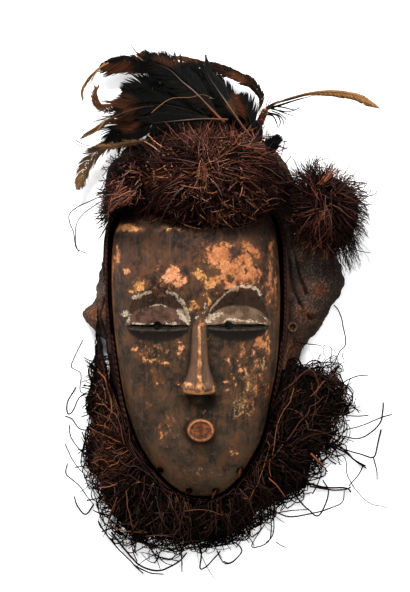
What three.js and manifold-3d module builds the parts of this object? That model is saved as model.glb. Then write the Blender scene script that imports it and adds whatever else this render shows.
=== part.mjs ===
// A carved wooden face mask with a woven hood, tufts of raffia hair, a raffia beard and a crest
// of feathers. It lies on its back: X runs to the viewer's right, Y towards the crown and Z out
// of the face. Sizes are in millimetres. The shapes are drawn about the middle of the face, and
// the whole is moved at the end so that the origin is under the middle of its bounding box.
import * as THREE from "three";
import { mergeVertices } from "three/addons/utils/BufferGeometryUtils.js";
import Module from "manifold-3d";

const wasm = await Module();
wasm.setup();

// The wooden face: stations from the chin to the crown, with the edges on the viewer's left and
// right and the height of the front above the rim. It is carved by hand, so it is not symmetrical.
const FACE_STATIONS = [
  { y: -174, left: 4.5, right: 5.5, height: 0.4 },
  { y: -169, left: -17, right: 25, height: 27 },
  { y: -154, left: -39, right: 43, height: 47 },
  { y: -130, left: -58, right: 59, height: 62 },
  { y: -104, left: -72, right: 72, height: 71 },
  { y: -68, left: -83.5, right: 80, height: 77 },
  { y: -25, left: -91, right: 88, height: 80 },
  { y: 27, left: -97.5, right: 92, height: 85 },
  { y: 72, left: -99.5, right: 92, height: 92 },
  { y: 117, left: -98, right: 89, height: 91 },
  { y: 141, left: -91, right: 82, height: 77 },
  { y: 154, left: -72, right: 63, height: 50 },
  { y: 158, left: -5, right: -4, height: 0.4 },
];
const WOOD = 8; // thickness of the carved wall
const SIDE_POWER = 3; // how squarely the front turns into the sides, seen from the end
const FRONT_POWER = 2.4; // how flat the front is across
const BELOW = -1; // cutters for the open back start this far under the rim
const CLEAR = 12; // cutters for the carving reach this far above the front

// The eyes: a sunk socket under the brow, a lid that slopes out to the slit, and a hollow below.
const EYES = [
  { inner: -10, outer: -80, pupil: -45, slit: 21.5, lidTop: 44, browTop: 63.5 },
  { inner: 8, outer: 77, pupil: 32, slit: 22, lidTop: 44.5, browTop: 63.5 },
];
const SOCKET_DEPTH = 4.4;
const LID_RISE = 1.6; // how far the lid's edge stands out of the front
const HOLLOW_DEPTH = 4;
const HOLLOW_LENGTH = 15; // how far the hollow under the eye reaches down the cheek
const SLIT_WIDTH = 3.6;
const PUPIL_RADIUS = 4.4;

// The nose, from the root to the base, and the mouth, a short round boss with a sunk middle.
const NOSE_X = 0.6;
const NOSE = [
  { y: 34, half: 4, rise: 1 },
  { y: 22, half: 7.5, rise: 6 },
  { y: 0, half: 9, rise: 11 },
  { y: -24, half: 9.5, rise: 16 },
  { y: -37, half: 12.5, rise: 19 },
  { y: -45, half: 17, rise: 20 },
  { y: -50, half: 12.5, rise: 17 },
  { y: -52.5, half: 5, rise: 11 },
];
const MOUTH = { x: 1.8, y: -91.6, radius: 15.3, squash: 0.83, rise: 8 };

// The four lacing holes at the chin, by their bearing from the middle of the face, in degrees.
const LACING_BEARINGS = [253, 266.2, 276.4, 288];
const LACING_RADIUS = 2.8;
const LACING_INSET = 7;

// The cord round the edge, between the wood and the cloth, from one bearing to another.
const RIM_CORD = { radius: 1.8, gap: 0.8, height: 17, from: 140, to: 400, steps: 38 };

// The cloth hood, by bearing: how far its free edge reaches on the ground, the height at which it
// starts beside the wood, and how much it arches in between.
const HOOD = [
  { at: 186, reach: 106, start: 20, arch: 3 },
  { at: 181, reach: 107, start: 21, arch: 3 },
  { at: 177, reach: 116, start: 22, arch: 6 },
  { at: 171, reach: 127, start: 24, arch: 10 },
  { at: 165.5, reach: 138, start: 26, arch: 13 },
  { at: 158, reach: 127, start: 27, arch: 8 },
  { at: 149, reach: 130, start: 28, arch: 3 },
  { at: 139, reach: 150, start: 30, arch: 3 },
  { at: 131, reach: 176, start: 32, arch: 12 },
  { at: 123, reach: 196, start: 35, arch: 26 },
  { at: 114, reach: 218, start: 38, arch: 38 },
  { at: 104, reach: 243, start: 40, arch: 42 },
  { at: 92, reach: 252, start: 40, arch: 44 },
  { at: 80, reach: 248, start: 40, arch: 44 },
  { at: 69, reach: 236, start: 40, arch: 40 },
  { at: 58, reach: 210, start: 38, arch: 26 },
  { at: 48, reach: 196, start: 35, arch: 10 },
  { at: 41, reach: 192, start: 32, arch: 13 },
  { at: 34, reach: 188, start: 30, arch: 3 },
  { at: 27, reach: 183, start: 28, arch: 12 },
  { at: 22, reach: 179, start: 28, arch: 8 },
  { at: 16, reach: 158, start: 27, arch: 7 },
  { at: 8, reach: 140, start: 25, arch: 6 },
  { at: 0, reach: 122, start: 23, arch: 5 },
  { at: -8, reach: 114, start: 21, arch: 4 },
  { at: -17, reach: 110, start: 20, arch: 3 },
];
const HOOD_STEPS = 42;
const HOOD_ACROSS = 6;
const CLOTH = 2.4; // thickness of the cloth with its lining of fibre
const ARCH_POWER = 2.6; // how flat the arch is on top
const SEAM = 5.7; // from the wood's edge out to the cloth and the beard, with the cord between

// The beard, by bearing: how far its mass reaches, and its height beside the wood.
const BEARD = [
  { at: 188, reach: 124, height: 22 },
  { at: 199, reach: 145, height: 30 },
  { at: 212, reach: 165, height: 34 },
  { at: 224, reach: 184, height: 38 },
  { at: 235, reach: 203, height: 40 },
  { at: 244, reach: 224, height: 40 },
  { at: 253, reach: 244, height: 38 },
  { at: 261, reach: 247, height: 36 },
  { at: 270, reach: 234, height: 34 },
  { at: 280, reach: 228, height: 34 },
  { at: 289, reach: 225, height: 36 },
  { at: 299, reach: 218, height: 38 },
  { at: 309, reach: 215, height: 41 },
  { at: 319, reach: 211, height: 42 },
  { at: 328, reach: 203, height: 42 },
  { at: 335, reach: 188, height: 38 },
  { at: 341, reach: 160, height: 28 },
];
const BEARD_STEPS = 44;
const BEARD_ACROSS = 7;
const BEARD_LOCKS = 3; // how far the locks stand out of the mass

// Tufts of cut raffia: middle, half sizes, and which way the lumps run.
const TUFTS = [
  { name: "forehead_tuft", middle: [15, 178, 74], half: [76, 59, 48], phase: 0.4 },
  { name: "left_tuft", middle: [-86, 165, 56], half: [33, 48, 36], phase: 1.7 },
  { name: "right_pompom", middle: [144, 146, 44], half: [46, 57, 44], phase: 2.9 },
];
const TUFT_RINGS = 8;
const TUFT_SIDES = 13;
const TUFT_LUMP = 0.07; // height of the lumps, as a share of the size
const TUFT_GAP = 1; // from a tuft to what it rests on

// A small ring of cord on the hood, beside the wearer's left ear.
const EAR_RING = { x: 105, y: 19, radius: 4.5, thick: 1.1, lift: 2.4 };

// The feathers, from the lowest to the highest layer: the route of the quill in plan, the widest
// half width of the vane, where along the feather it is widest, and its colour.
const BLACK = "#1d1a19";
const BROWN = "#4a2c1a";
const TAN = "#9a6a3a";
const FEATHERS = [
  { name: "arched_back", half: 6, widest: 0.6, colour: BROWN,
    route: [[66, 258], [73, 274], [65, 288], [49, 296], [28, 306], [4, 313], [-32, 321]] },
  { name: "back_fan_right", half: 13, widest: 0.5, colour: BLACK,
    route: [[44, 250], [26, 279], [7, 301], [-12, 314]] },
  { name: "long_right", half: 5, widest: 0.8, colour: TAN,
    route: [[66, 249], [94, 269], [121, 277], [151, 280], [180, 276], [199, 262]] },
  { name: "far_left_hook", half: 8, widest: 0.4, colour: BROWN,
    route: [[-4, 286], [-38, 311], [-69, 315], [-87, 317], [-103, 313],
      [-118, 303], [-128, 287], [-129, 272]] },
  { name: "back_fan_middle", half: 15, widest: 0.55, colour: BLACK,
    route: [[25, 250], [-10, 276], [-54, 293], [-90, 298]] },
  { name: "left_curl", half: 11, widest: 0.65, colour: BROWN,
    route: [[1, 264], [-36, 272], [-69, 270], [-99, 271], [-120, 286]] },
  { name: "short_right", half: 7, widest: 0.6, colour: BLACK,
    route: [[76, 217], [85, 226], [94, 232]] },
  { name: "drooping_left", half: 9, widest: 0.6, colour: TAN,
    route: [[-58, 240], [-96, 224], [-122, 203], [-134, 172]] },
  { name: "dark_left", half: 14, widest: 0.6, colour: BROWN,
    route: [[-12, 252], [-60, 249], [-92, 234], [-118, 206]] },
  { name: "front_fan_low", half: 12, widest: 0.5, colour: BLACK,
    route: [[28, 243], [-15, 240], [-54, 240], [-98, 226]] },
  { name: "middle_fan", half: 14, widest: 0.55, colour: BLACK,
    route: [[22, 248], [-20, 268], [-62, 280], [-104, 282]] },
  { name: "front_fan_middle", half: 14, widest: 0.5, colour: BLACK,
    route: [[21, 246], [-21, 259], [-60, 263], [-104, 257]] },
  { name: "downy_middle", half: 10, widest: 0.5, colour: BROWN,
    route: [[52, 253], [52, 272], [44, 293]] },
  { name: "tan_left", half: 5, widest: 0.5, colour: TAN,
    route: [[-12, 243], [-42, 232], [-84, 222], [-112, 218], [-138, 225]] },
  { name: "upper_fan", half: 13, widest: 0.6, colour: BLACK,
    route: [[14, 256], [-18, 282], [-50, 300], [-82, 310]] },
  { name: "main_left", half: 13, widest: 0.55, colour: BLACK,
    route: [[18, 252], [-15, 287], [-48, 308], [-77, 334]] },
  { name: "crossing_strands", half: 5, widest: 0.7, colour: BLACK,
    route: [[6, 258], [-34, 264], [-69, 261], [-100, 251], [-128, 229]] },
  { name: "upright", half: 8.5, widest: 0.55, colour: BLACK,
    route: [[58, 229], [32, 265], [11, 299], [8, 321]] },
  { name: "level", half: 9, widest: 0.6, colour: BLACK,
    route: [[28, 249], [-32, 249], [-64, 250]] },
];
const FEATHER_STEPS = 7;
const VANE = 0.9; // thickness of a vane at its edge
const QUILL = 1.3; // radius of a quill at its root
const KNOT = [30, 235]; // the crest is thickest here, and sinks away from it
const CREST = { low: 8, rise: 29, spread: 78, layer: 1.9, knotLayer: 1.5 };

// The raffia stalk that the feathers are bound to: places on the page, and its radius at each.
const BINDING = [[61, 225, 6], [62, 234, 6.2], [67, 246, 5], [72, 258, 4.2], [75, 264, 3]];
const BINDING_DROP = 8.5; // its middle, below the lowest layer of feathers

const point = (x, y, z) => new THREE.Vector3(x, y, z);
const radians = THREE.MathUtils.degToRad;

// A smooth curve through a list of points, read at even steps of its parameter.
function smooth(points) {
  return new THREE.CatmullRomCurve3(points, false, "catmullrom", 0.5);
}

const faceEdges = smooth(FACE_STATIONS.map((s) => point(s.left, s.right, s.y)));
const faceHeights = smooth(FACE_STATIONS.map((s) => point(s.height, 0, 0)));

// A closed geometry as a solid, with its faces turned outwards.
function solidOf(geometry) {
  const bare = geometry.index ? geometry.toNonIndexed() : geometry.clone();
  bare.deleteAttribute("normal");
  bare.deleteAttribute("uv");
  const merged = mergeVertices(bare, 1e-4);
  const triVerts = new Uint32Array(merged.index.array);
  const vertProperties = merged.attributes.position.array;
  const made = new wasm.Manifold(new wasm.Mesh({ numProp: 3, vertProperties, triVerts }));
  if (made.volume() >= 0) return made;
  for (let i = 0; i < triVerts.length; i += 3) {
    [triVerts[i], triVerts[i + 1]] = [triVerts[i + 1], triVerts[i]];
  }
  return new wasm.Manifold(new wasm.Mesh({ numProp: 3, vertProperties, triVerts }));
}

// A solid through closed rings of points, each with the same number of points.
function loft(rings) {
  const sides = rings[0].length;
  const corners = rings.flat();
  const faces = [];
  for (let r = 0; r + 1 < rings.length; r++) {
    for (let i = 0; i < sides; i++) {
      const a = r * sides + i;
      const b = r * sides + ((i + 1) % sides);
      faces.push(a, b, b + sides, a, b + sides, a + sides);
    }
  }
  for (const [first, flip] of [[0, true], [(rings.length - 1) * sides, false]]) {
    const ring = corners.slice(first, first + sides);
    const middle = ring.reduce((sum, p) => sum.add(p), point(0, 0, 0)).divideScalar(sides);
    const centre = corners.push(middle) - 1;
    for (let i = 0; i < sides; i++) {
      const a = first + i;
      const b = first + ((i + 1) % sides);
      faces.push(...(flip ? [b, a, centre] : [a, b, centre]));
    }
  }
  return solidOf(new THREE.BufferGeometry().setFromPoints(corners).setIndex(faces));
}

function geometryOf(solid) {
  const mesh = solid.getMesh();
  const geometry = new THREE.BufferGeometry();
  geometry.setAttribute("position", new THREE.BufferAttribute(mesh.vertProperties, 3));
  geometry.setIndex(new THREE.BufferAttribute(mesh.triVerts, 1));
  geometry.computeVertexNormals();
  return geometry;
}

// The face as a plain dome, grown or shrunk all round. The rows follow the stations.
function faceDome({ grow = 0, rows = 30, across = 16, floor = 0 }) {
  const low = FACE_STATIONS[0].y;
  const high = FACE_STATIONS.at(-1).y;
  const middle = (low + high) / 2;
  const stretch = 1 + grow / ((high - low) / 2);
  const rings = [];
  for (let r = 0; r <= rows; r++) {
    const edge = faceEdges.getPoint(r / rows);
    const height = Math.max(faceHeights.getPoint(r / rows).x + grow, 0.3);
    const centre = (edge.x + edge.y) / 2;
    const half = Math.max((edge.y - edge.x) / 2 + grow, 0.3);
    const y = middle + (edge.z - middle) * stretch;
    const ring = floor < 0 ? [point(centre - half, y, floor)] : [];
    for (let i = 0; i <= across; i++) {
      const turn = (Math.PI * i) / across;
      const side = -Math.sign(Math.cos(turn)) * Math.abs(Math.cos(turn)) ** (2 / SIDE_POWER);
      ring.push(point(centre + half * side, y, height * Math.abs(Math.sin(turn)) ** (2 / FRONT_POWER)));
    }
    if (floor < 0) ring.push(point(centre + half, y, floor));
    rings.push(ring);
  }
  return loft(rings);
}

// Where on the spine of the face a height on the page lies, from 0 at the chin to 1 at the crown.
function alongFace(y) {
  let low = 0;
  let high = 1;
  for (let i = 0; i < 30; i++) {
    const middle = (low + high) / 2;
    if (faceEdges.getPoint(middle).z < y) low = middle;
    else high = middle;
  }
  return (low + high) / 2;
}

// The height of the plain front at a place on the face.
function frontAt(x, y) {
  const at = alongFace(y);
  const edge = faceEdges.getPoint(at);
  const across = Math.min(Math.abs((2 * x - edge.x - edge.y) / (edge.y - edge.x)), 1);
  return faceHeights.getPoint(at).x * (1 - across ** SIDE_POWER) ** (1 / FRONT_POWER);
}

// The edge of the face, grown by a gap, as distances from the middle of the face by bearing.
const EDGE_STEPS = 160;
function edgeTable(gap) {
  const edges = Array.from({ length: EDGE_STEPS + 1 }, (_, i) => faceEdges.getPoint(i / EDGE_STEPS));
  const outline = [...edges.map((e) => [e.y, e.z]), ...edges.reverse().map((e) => [e.x, e.z])];
  const table = outline.map(([x, y], i) => {
    const [xa, ya] = outline.at(i - 2);
    const [xb, yb] = outline[(i + 2) % outline.length];
    const run = Math.hypot(xb - xa, yb - ya);
    const grown = [x + (gap * (yb - ya)) / run, y - (gap * (xb - xa)) / run];
    const bearing = THREE.MathUtils.radToDeg(Math.atan2(grown[1], grown[0]));
    return [THREE.MathUtils.euclideanModulo(bearing, 360), Math.hypot(...grown)];
  });
  return table.sort((a, b) => a[0] - b[0]);
}
function readEdge(table, bearing) {
  const wanted = THREE.MathUtils.euclideanModulo(bearing, 360);
  const next = table.findIndex((row) => row[0] >= wanted);
  const b = table[Math.max(next, 0)];
  const a = table.at(next <= 0 ? -1 : next - 1);
  const span = THREE.MathUtils.euclideanModulo(b[0] - a[0], 360) || 1;
  return a[1] + ((b[1] - a[1]) * THREE.MathUtils.euclideanModulo(wanted - a[0], 360)) / span;
}
const [woodEdge, seamEdge, cordEdge] = [0, SEAM, RIM_CORD.radius + RIM_CORD.gap].map(edgeTable);
const onPage = (bearing, distance, z) =>
  point(distance * Math.cos(radians(bearing)), distance * Math.sin(radians(bearing)), z);

// A prism along X whose cross sections are given as lists of [y, z] between two places.
function carvedStrip(from, to, steps, section) {
  const rings = [];
  for (let i = 0; i <= steps; i++) {
    const share = 0.01 + (0.98 * i) / steps;
    const x = from + (to - from) * (0.5 - 0.5 * Math.cos(Math.PI * share));
    const bow = Math.sqrt(1 - (2 * ((x - from) / (to - from)) - 1) ** 2);
    rings.push(section(x, bow).map(([y, z]) => point(x, y, z)));
  }
  return loft(rings);
}

function socketCut(eye) {
  return carvedStrip(eye.outer, eye.inner, 9, (x, bow) => {
    const top = eye.slit + (eye.browTop - eye.slit) * bow;
    const low = eye.slit - 1;
    const sunk = (y) => frontAt(x, y) - SOCKET_DEPTH;
    const middle = (low + top) / 2;
    return [[low, sunk(low)], [middle, sunk(middle)], [top, sunk(top)], [top, sunk(top) + CLEAR],
      [middle, sunk(middle) + CLEAR], [low, sunk(low) + CLEAR]];
  });
}

function hollowCut(eye) {
  return carvedStrip(eye.outer + 3 * Math.sign(eye.inner - eye.outer), eye.inner, 9, (x, bow) => {
    const low = eye.slit - HOLLOW_LENGTH * bow - 0.5;
    const middle = (low + eye.slit) / 2;
    const front = (y) => frontAt(x, y);
    return [[eye.slit, front(eye.slit) - HOLLOW_DEPTH], [eye.slit, front(eye.slit) + CLEAR],
      [middle, front(middle) + CLEAR], [low, front(low) + CLEAR], [low, front(low) - 0.2],
      [middle, front(middle) - HOLLOW_DEPTH * 0.8]];
  });
}

function eyelid(eye) {
  return carvedStrip(eye.outer + 2 * Math.sign(eye.inner - eye.outer), eye.inner, 9, (x, bow) => {
    const top = eye.slit + (eye.lidTop - eye.slit) * bow + 0.3;
    const middle = (top + eye.slit) / 2;
    const front = (y) => frontAt(x, y);
    return [[eye.slit, front(eye.slit) + LID_RISE * bow], [middle, front(middle) - 0.3],
      [top, front(top) - SOCKET_DEPTH * 0.8], [top, front(top) - WOOD + 0.6],
      [middle, front(middle) - WOOD + 0.6], [eye.slit, front(eye.slit) - WOOD + 0.6]];
  });
}

// The sight slit with its round pupil, cut right through the wall.
function slitCut(eye) {
  const deep = frontAt(eye.pupil, eye.slit);
  const slit = carvedStrip(eye.outer + 4 * Math.sign(eye.inner - eye.outer), eye.inner, 8, (x, bow) => {
    const half = (SLIT_WIDTH / 2) * (0.3 + 0.7 * bow);
    return [[eye.slit - half, 30], [eye.slit + half, 30], [eye.slit + half, deep + CLEAR],
      [eye.slit - half, deep + CLEAR]];
  });
  const pupil = new THREE.CylinderGeometry(PUPIL_RADIUS, PUPIL_RADIUS, 70, 14).rotateX(Math.PI / 2);
  pupil.translate(eye.pupil, eye.slit, deep);
  return slit.add(solidOf(pupil));
}

function nose() {
  return loft(NOSE.map(({ y, half, rise }) => {
    const front = (x) => frontAt(NOSE_X + x, y);
    return [[-half, -5], [-half, 0.6], [-half * 0.62, rise * 0.55], [-half * 0.22, rise],
      [half * 0.22, rise], [half * 0.62, rise * 0.55], [half, 0.6], [half, -5]]
      .map(([x, up]) => point(NOSE_X + x, y, front(x) + up));
  }));
}

function mouth() {
  const { radius, rise } = MOUTH;
  const profile = [[0, -6], [radius + 0.6, -6], [radius + 0.4, 1], [radius, rise - 3],
    [radius - 1.6, rise - 0.5], [radius - 3.6, rise], [radius - 5.4, rise - 1.6], [0, rise - 1.9]];
  const turned = new THREE.LatheGeometry(profile.map(([r, h]) => new THREE.Vector2(r, h)), 20);
  turned.rotateX(Math.PI / 2).scale(1, MOUTH.squash, 1);
  turned.translate(MOUTH.x, MOUTH.y, frontAt(MOUTH.x, MOUTH.y));
  return solidOf(turned);
}

// A lacing hole, drilled from the edge of the front down into the hollow.
function lacingHole(bearing) {
  const edge = onPage(bearing, readEdge(woodEdge, bearing) - LACING_INSET, 0);
  const start = edge.clone().setZ(frontAt(edge.x, edge.y));
  const inward = edge.clone().normalize().multiplyScalar(-0.45).setZ(-0.89).normalize();
  const drill = new THREE.CylinderGeometry(LACING_RADIUS, LACING_RADIUS, 40, 8);
  drill.applyQuaternion(new THREE.Quaternion().setFromUnitVectors(point(0, 1, 0), inward));
  return solidOf(drill.translate(...start.addScaledVector(inward, 6).toArray()));
}

function carvedFace() {
  let wood = faceDome({}).subtract(faceDome({ grow: -WOOD, rows: 20, across: 12, floor: BELOW }));
  for (const eye of EYES) {
    wood = wood.subtract(socketCut(eye)).subtract(hollowCut(eye)).add(eyelid(eye));
  }
  wood = wood.add(nose()).add(mouth());
  wood = wood.subtract(faceDome({ grow: -WOOD - 1.5, rows: 20, across: 12, floor: BELOW }));
  for (const eye of EYES) wood = wood.subtract(slitCut(eye));
  for (const bearing of LACING_BEARINGS) wood = wood.subtract(lacingHole(bearing));
  return wood;
}

// Reads a table of rows by bearing as one smooth curve, at a share of the way from its first row.
function readRows(rows, keys) {
  const main = smooth(rows.map((row) => point(row.at, row[keys[0]], row[keys[1]])));
  const rest = smooth(rows.map((row) => point(row[keys[2] ?? keys[0]], 0, 0)));
  return (share) => {
    const a = main.getPoint(share);
    return { at: a.x, [keys[0]]: a.y, [keys[1]]: a.z, [keys[2] ?? "spare"]: rest.getPoint(share).x };
  };
}

const hoodRow = readRows(HOOD, ["reach", "start", "arch"]);
const beardRow = readRows(BEARD, ["reach", "height"]);

// The top of the cloth at one bearing, from the wood (0) to the free edge (1), as [distance, z].
function clothLine(row, share) {
  const from = readEdge(seamEdge, row.at);
  const lift = row.arch * (1 - Math.abs(2 * share - 1) ** ARCH_POWER);
  return [from + (row.reach - from) * share, row.start * (1 - share) + CLOTH * share + lift];
}

function hood() {
  const rings = [];
  for (let s = 0; s <= HOOD_STEPS; s++) {
    const row = hoodRow(s / HOOD_STEPS);
    const top = [];
    const under = [];
    for (let i = 0; i <= HOOD_ACROSS; i++) {
      const share = i / HOOD_ACROSS;
      const [distance, z] = clothLine(row, share);
      const [d0, z0] = clothLine(row, Math.max(share - 0.02, 0));
      const [d1, z1] = clothLine(row, Math.min(share + 0.02, 1));
      const slope = Math.hypot(d1 - d0, z1 - z0);
      top.push(onPage(row.at, distance, z));
      const below = Math.max(z - (CLOTH * (d1 - d0)) / slope, 0);
      under.push(onPage(row.at, distance + (CLOTH * (z1 - z0)) / slope, below));
    }
    rings.push([...top, ...under.reverse()]);
  }
  return loft(rings);
}

// The room that the hood takes, filled down to the ground, for cutting what rests on it.
function hoodBody(gap) {
  const rings = [];
  for (let s = 0; s <= HOOD_STEPS; s++) {
    const row = hoodRow(s / HOOD_STEPS);
    const top = [];
    for (let i = 0; i <= HOOD_ACROSS; i++) {
      const [distance, z] = clothLine(row, i / HOOD_ACROSS);
      top.push(onPage(row.at, distance + (i === HOOD_ACROSS ? gap : 0) - (i === 0 ? SEAM : 0), z + gap));
    }
    rings.push([...top, top.at(-1).clone().setZ(BELOW), top[0].clone().setZ(BELOW)]);
  }
  return loft(rings);
}

function beard() {
  const rings = [];
  for (let s = 0; s <= BEARD_STEPS; s++) {
    const row = beardRow(s / BEARD_STEPS);
    const from = readEdge(seamEdge, row.at);
    const reach = Math.max(row.reach, from + 10);
    const ring = [];
    for (let i = 0; i <= BEARD_ACROSS; i++) {
      const share = i / BEARD_ACROSS;
      const lump = BEARD_LOCKS * Math.sin(s * 1.9 + 6 * share) * Math.sin(Math.PI * share);
      const z = 3 + (row.height - 3) * (1 - share ** 2.2) * (0.86 + 0.14 * Math.sin(Math.PI * share)) + lump;
      ring.push(onPage(row.at, from + (reach - from) * share, z));
    }
    ring.push(onPage(row.at, reach, 0), onPage(row.at, from, 0));
    rings.push(ring);
  }
  return loft(rings);
}

function tuft({ middle, half, phase }) {
  const rings = [];
  for (let r = 0; r <= TUFT_RINGS; r++) {
    const turn = (Math.PI * (r + 0.06)) / (TUFT_RINGS + 0.12);
    const ring = [];
    for (let i = 0; i < TUFT_SIDES; i++) {
      const round = (2 * Math.PI * i) / TUFT_SIDES;
      const lump = 1 + TUFT_LUMP * Math.sin(5 * round + phase) * Math.sin(3 * turn + phase);
      const x = middle[0] - half[0] * Math.cos(turn) * lump;
      const y = middle[1] + half[1] * Math.sin(turn) * Math.cos(round) * lump;
      const z = middle[2] + half[2] * Math.sin(turn) * Math.sin(round) * lump;
      ring.push(point(x, y, Math.max(z, 0)));
    }
    rings.push(ring);
  }
  return loft(rings);
}

// The cord that binds cloth and beard to the wood. It follows the edge, just outside the wall.
function rimCord() {
  const { radius, height, from, to, steps } = RIM_CORD;
  const bearings = Array.from({ length: steps + 1 }, (_, i) => from + ((to - from) * i) / steps);
  const route = bearings.map((bearing) => onPage(bearing, readEdge(cordEdge, bearing), height));
  const section = new THREE.Shape().absarc(0, 0, radius, 0, 2 * Math.PI);
  return solidOf(new THREE.ExtrudeGeometry(section, {
    steps, curveSegments: 3, bevelEnabled: false, extrudePath: new THREE.CatmullRomCurve3(route),
  }));
}

// The height of the hood's cloth at a place on the page.
function clothAt(x, y) {
  const bearing = THREE.MathUtils.radToDeg(Math.atan2(y, x));
  const wanted = bearing < -90 ? bearing + 360 : bearing;
  let low = 0;
  let high = 1;
  for (let i = 0; i < 30; i++) {
    const middle = (low + high) / 2;
    if (hoodRow(middle).at > wanted) low = middle;
    else high = middle;
  }
  const row = hoodRow(low);
  const from = readEdge(seamEdge, row.at);
  return clothLine(row, THREE.MathUtils.clamp((Math.hypot(x, y) - from) / (row.reach - from), 0, 1))[1];
}

function earRing() {
  const { x, y, radius, thick, lift } = EAR_RING;
  return solidOf(new THREE.TorusGeometry(radius, thick, 5, 12).translate(x, y, clothAt(x, y) + lift));
}

// The surface that a layer of the crest follows, so that crossing feathers never meet.
function crestAt(x, y, layer) {
  const near = Math.exp(-(((x - KNOT[0]) ** 2 + (y - KNOT[1]) ** 2) / CREST.spread ** 2));
  return CREST.low + CREST.rise * near + layer * (CREST.layer + CREST.knotLayer * near);
}

// A feather as one flat lens-shaped loft: a thin vane with the quill thickening its middle.
function feather({ route, half, widest }, layer) {
  const quill = smooth(route.map(([x, y]) => point(x, y, 0)));
  const rings = [];
  for (let s = 0; s <= FEATHER_STEPS; s++) {
    const share = s / FEATHER_STEPS;
    const middle = quill.getPoint(share);
    const run = quill.getTangent(share);
    const side = point(-run.y, run.x, 0).normalize();
    const swell = share < widest ? share / widest : 1 - ((share - widest) / (1 - widest)) ** 2;
    const width = Math.max(QUILL + (half - QUILL) * swell, 0.5);
    const thick = Math.max(QUILL * (1 - 0.75 * share), VANE / 2 + 0.1);
    rings.push([[-width, VANE / 2], [0, thick], [width, VANE / 2], [width, -VANE / 2], [0, -thick],
      [-width, -VANE / 2]].map(([across, up]) => {
      const place = middle.clone().addScaledVector(side, across);
      return place.setZ(crestAt(place.x, place.y, layer) + up);
    }));
  }
  return loft(rings);
}

// The stalk, with a ridge for each pair of turns of raffia.
function binding() {
  const turns = 12;
  const line = smooth(BINDING.map(([x, y, radius]) => point(x, y, radius)));
  const rings = [];
  for (let s = 0; s <= turns; s++) {
    const { x, y, z: radius } = line.getPoint(s / turns);
    const run = line.getTangent(s / turns).setZ(0).normalize();
    const wrapped = radius * (s % 2 ? 1 : 0.86);
    rings.push(Array.from({ length: 8 }, (_, i) => {
      const turn = (Math.PI * i) / 4;
      const across = wrapped * Math.cos(turn);
      const z = crestAt(x, y, 0) - BINDING_DROP + wrapped * Math.sin(turn);
      return point(x - run.y * across, y + run.x * across, z);
    }));
  }
  return loft(rings);
}

const wood = new THREE.MeshStandardMaterial({ color: "#3d3029", roughness: 0.55, metalness: 0 });
const cloth = new THREE.MeshStandardMaterial({ color: "#2c1c15", roughness: 0.95, metalness: 0 });
const hair = new THREE.MeshStandardMaterial({ color: "#4a2618", roughness: 0.85, metalness: 0 });
const beardFibre = new THREE.MeshStandardMaterial({ color: "#2a1a14", roughness: 0.85, metalness: 0 });

const mask = new THREE.Group();
function place(name, solid, material) {
  const mesh = new THREE.Mesh(geometryOf(solid), material);
  mesh.name = name;
  mask.add(mesh);
}

place("face_carving", carvedFace(), wood);
place("hood_cloth", hood(), cloth);
place("beard", beard(), beardFibre);
place("rim_cord", rimCord(), beardFibre);
const under = hoodBody(TUFT_GAP).add(faceDome({ grow: TUFT_GAP, floor: BELOW }));
TUFTS.forEach((each, i) => {
  const free = TUFTS.slice(0, i).reduce((left, other) => left.subtract(tuft({ ...other,
    half: other.half.map((size) => size + TUFT_GAP) })), tuft(each).subtract(under));
  place(each.name, free.decompose().sort((a, b) => b.volume() - a.volume())[0], hair);
});
place("ear_ring", earRing(), beardFibre);
place("feather_binding", binding().subtract(under), hair);
FEATHERS.forEach((each, layer) => {
  const vane = new THREE.MeshStandardMaterial({ color: each.colour, roughness: 0.6, metalness: 0 });
  place(`feather_${each.name}`, feather(each, layer), vane);
});

// The origin goes under the middle of the bounding box, on the ground.
const box = new THREE.Box3().setFromObject(mask);
const centre = box.getCenter(point(0, 0, 0));
mask.position.set(-centre.x, -centre.y, -box.min.z);

export default mask;
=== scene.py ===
import math

import bpy
import numpy as np
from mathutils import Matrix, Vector


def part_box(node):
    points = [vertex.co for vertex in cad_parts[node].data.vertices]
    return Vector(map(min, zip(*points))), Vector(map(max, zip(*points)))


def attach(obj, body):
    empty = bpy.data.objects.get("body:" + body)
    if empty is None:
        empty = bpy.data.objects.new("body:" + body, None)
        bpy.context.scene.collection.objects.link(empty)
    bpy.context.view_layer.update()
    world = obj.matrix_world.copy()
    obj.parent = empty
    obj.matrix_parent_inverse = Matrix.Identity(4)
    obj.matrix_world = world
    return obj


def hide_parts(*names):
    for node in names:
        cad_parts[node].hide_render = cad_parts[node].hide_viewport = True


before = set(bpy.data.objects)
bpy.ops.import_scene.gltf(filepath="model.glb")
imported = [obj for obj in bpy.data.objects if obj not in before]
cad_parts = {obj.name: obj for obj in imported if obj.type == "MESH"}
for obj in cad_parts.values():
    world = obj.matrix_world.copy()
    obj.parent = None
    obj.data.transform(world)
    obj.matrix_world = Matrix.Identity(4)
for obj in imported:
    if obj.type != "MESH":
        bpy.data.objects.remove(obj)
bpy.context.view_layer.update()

# Sizes are in millimetres, in the carver's own frame: the middle of the face is the origin, +Y is up the
# forehead and +Z comes out of the face. They repeat the part's own shapes.
FACE_STATIONS = np.array([
    [-174, 4.5, 5.5, 0.4], [-169, -17, 25, 27], [-154, -39, 43, 47], [-130, -58, 59, 62],
    [-104, -72, 72, 71], [-68, -83.5, 80, 77], [-25, -91, 88, 80], [27, -97.5, 92, 85], [72, -99.5, 92, 92],
    [117, -98, 89, 91], [141, -91, 82, 77], [154, -72, 63, 50], [158, -5, -4, 0.4],
])
WOOD = 8
SIDE_POWER = 3
FRONT_POWER = 2.4
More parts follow.
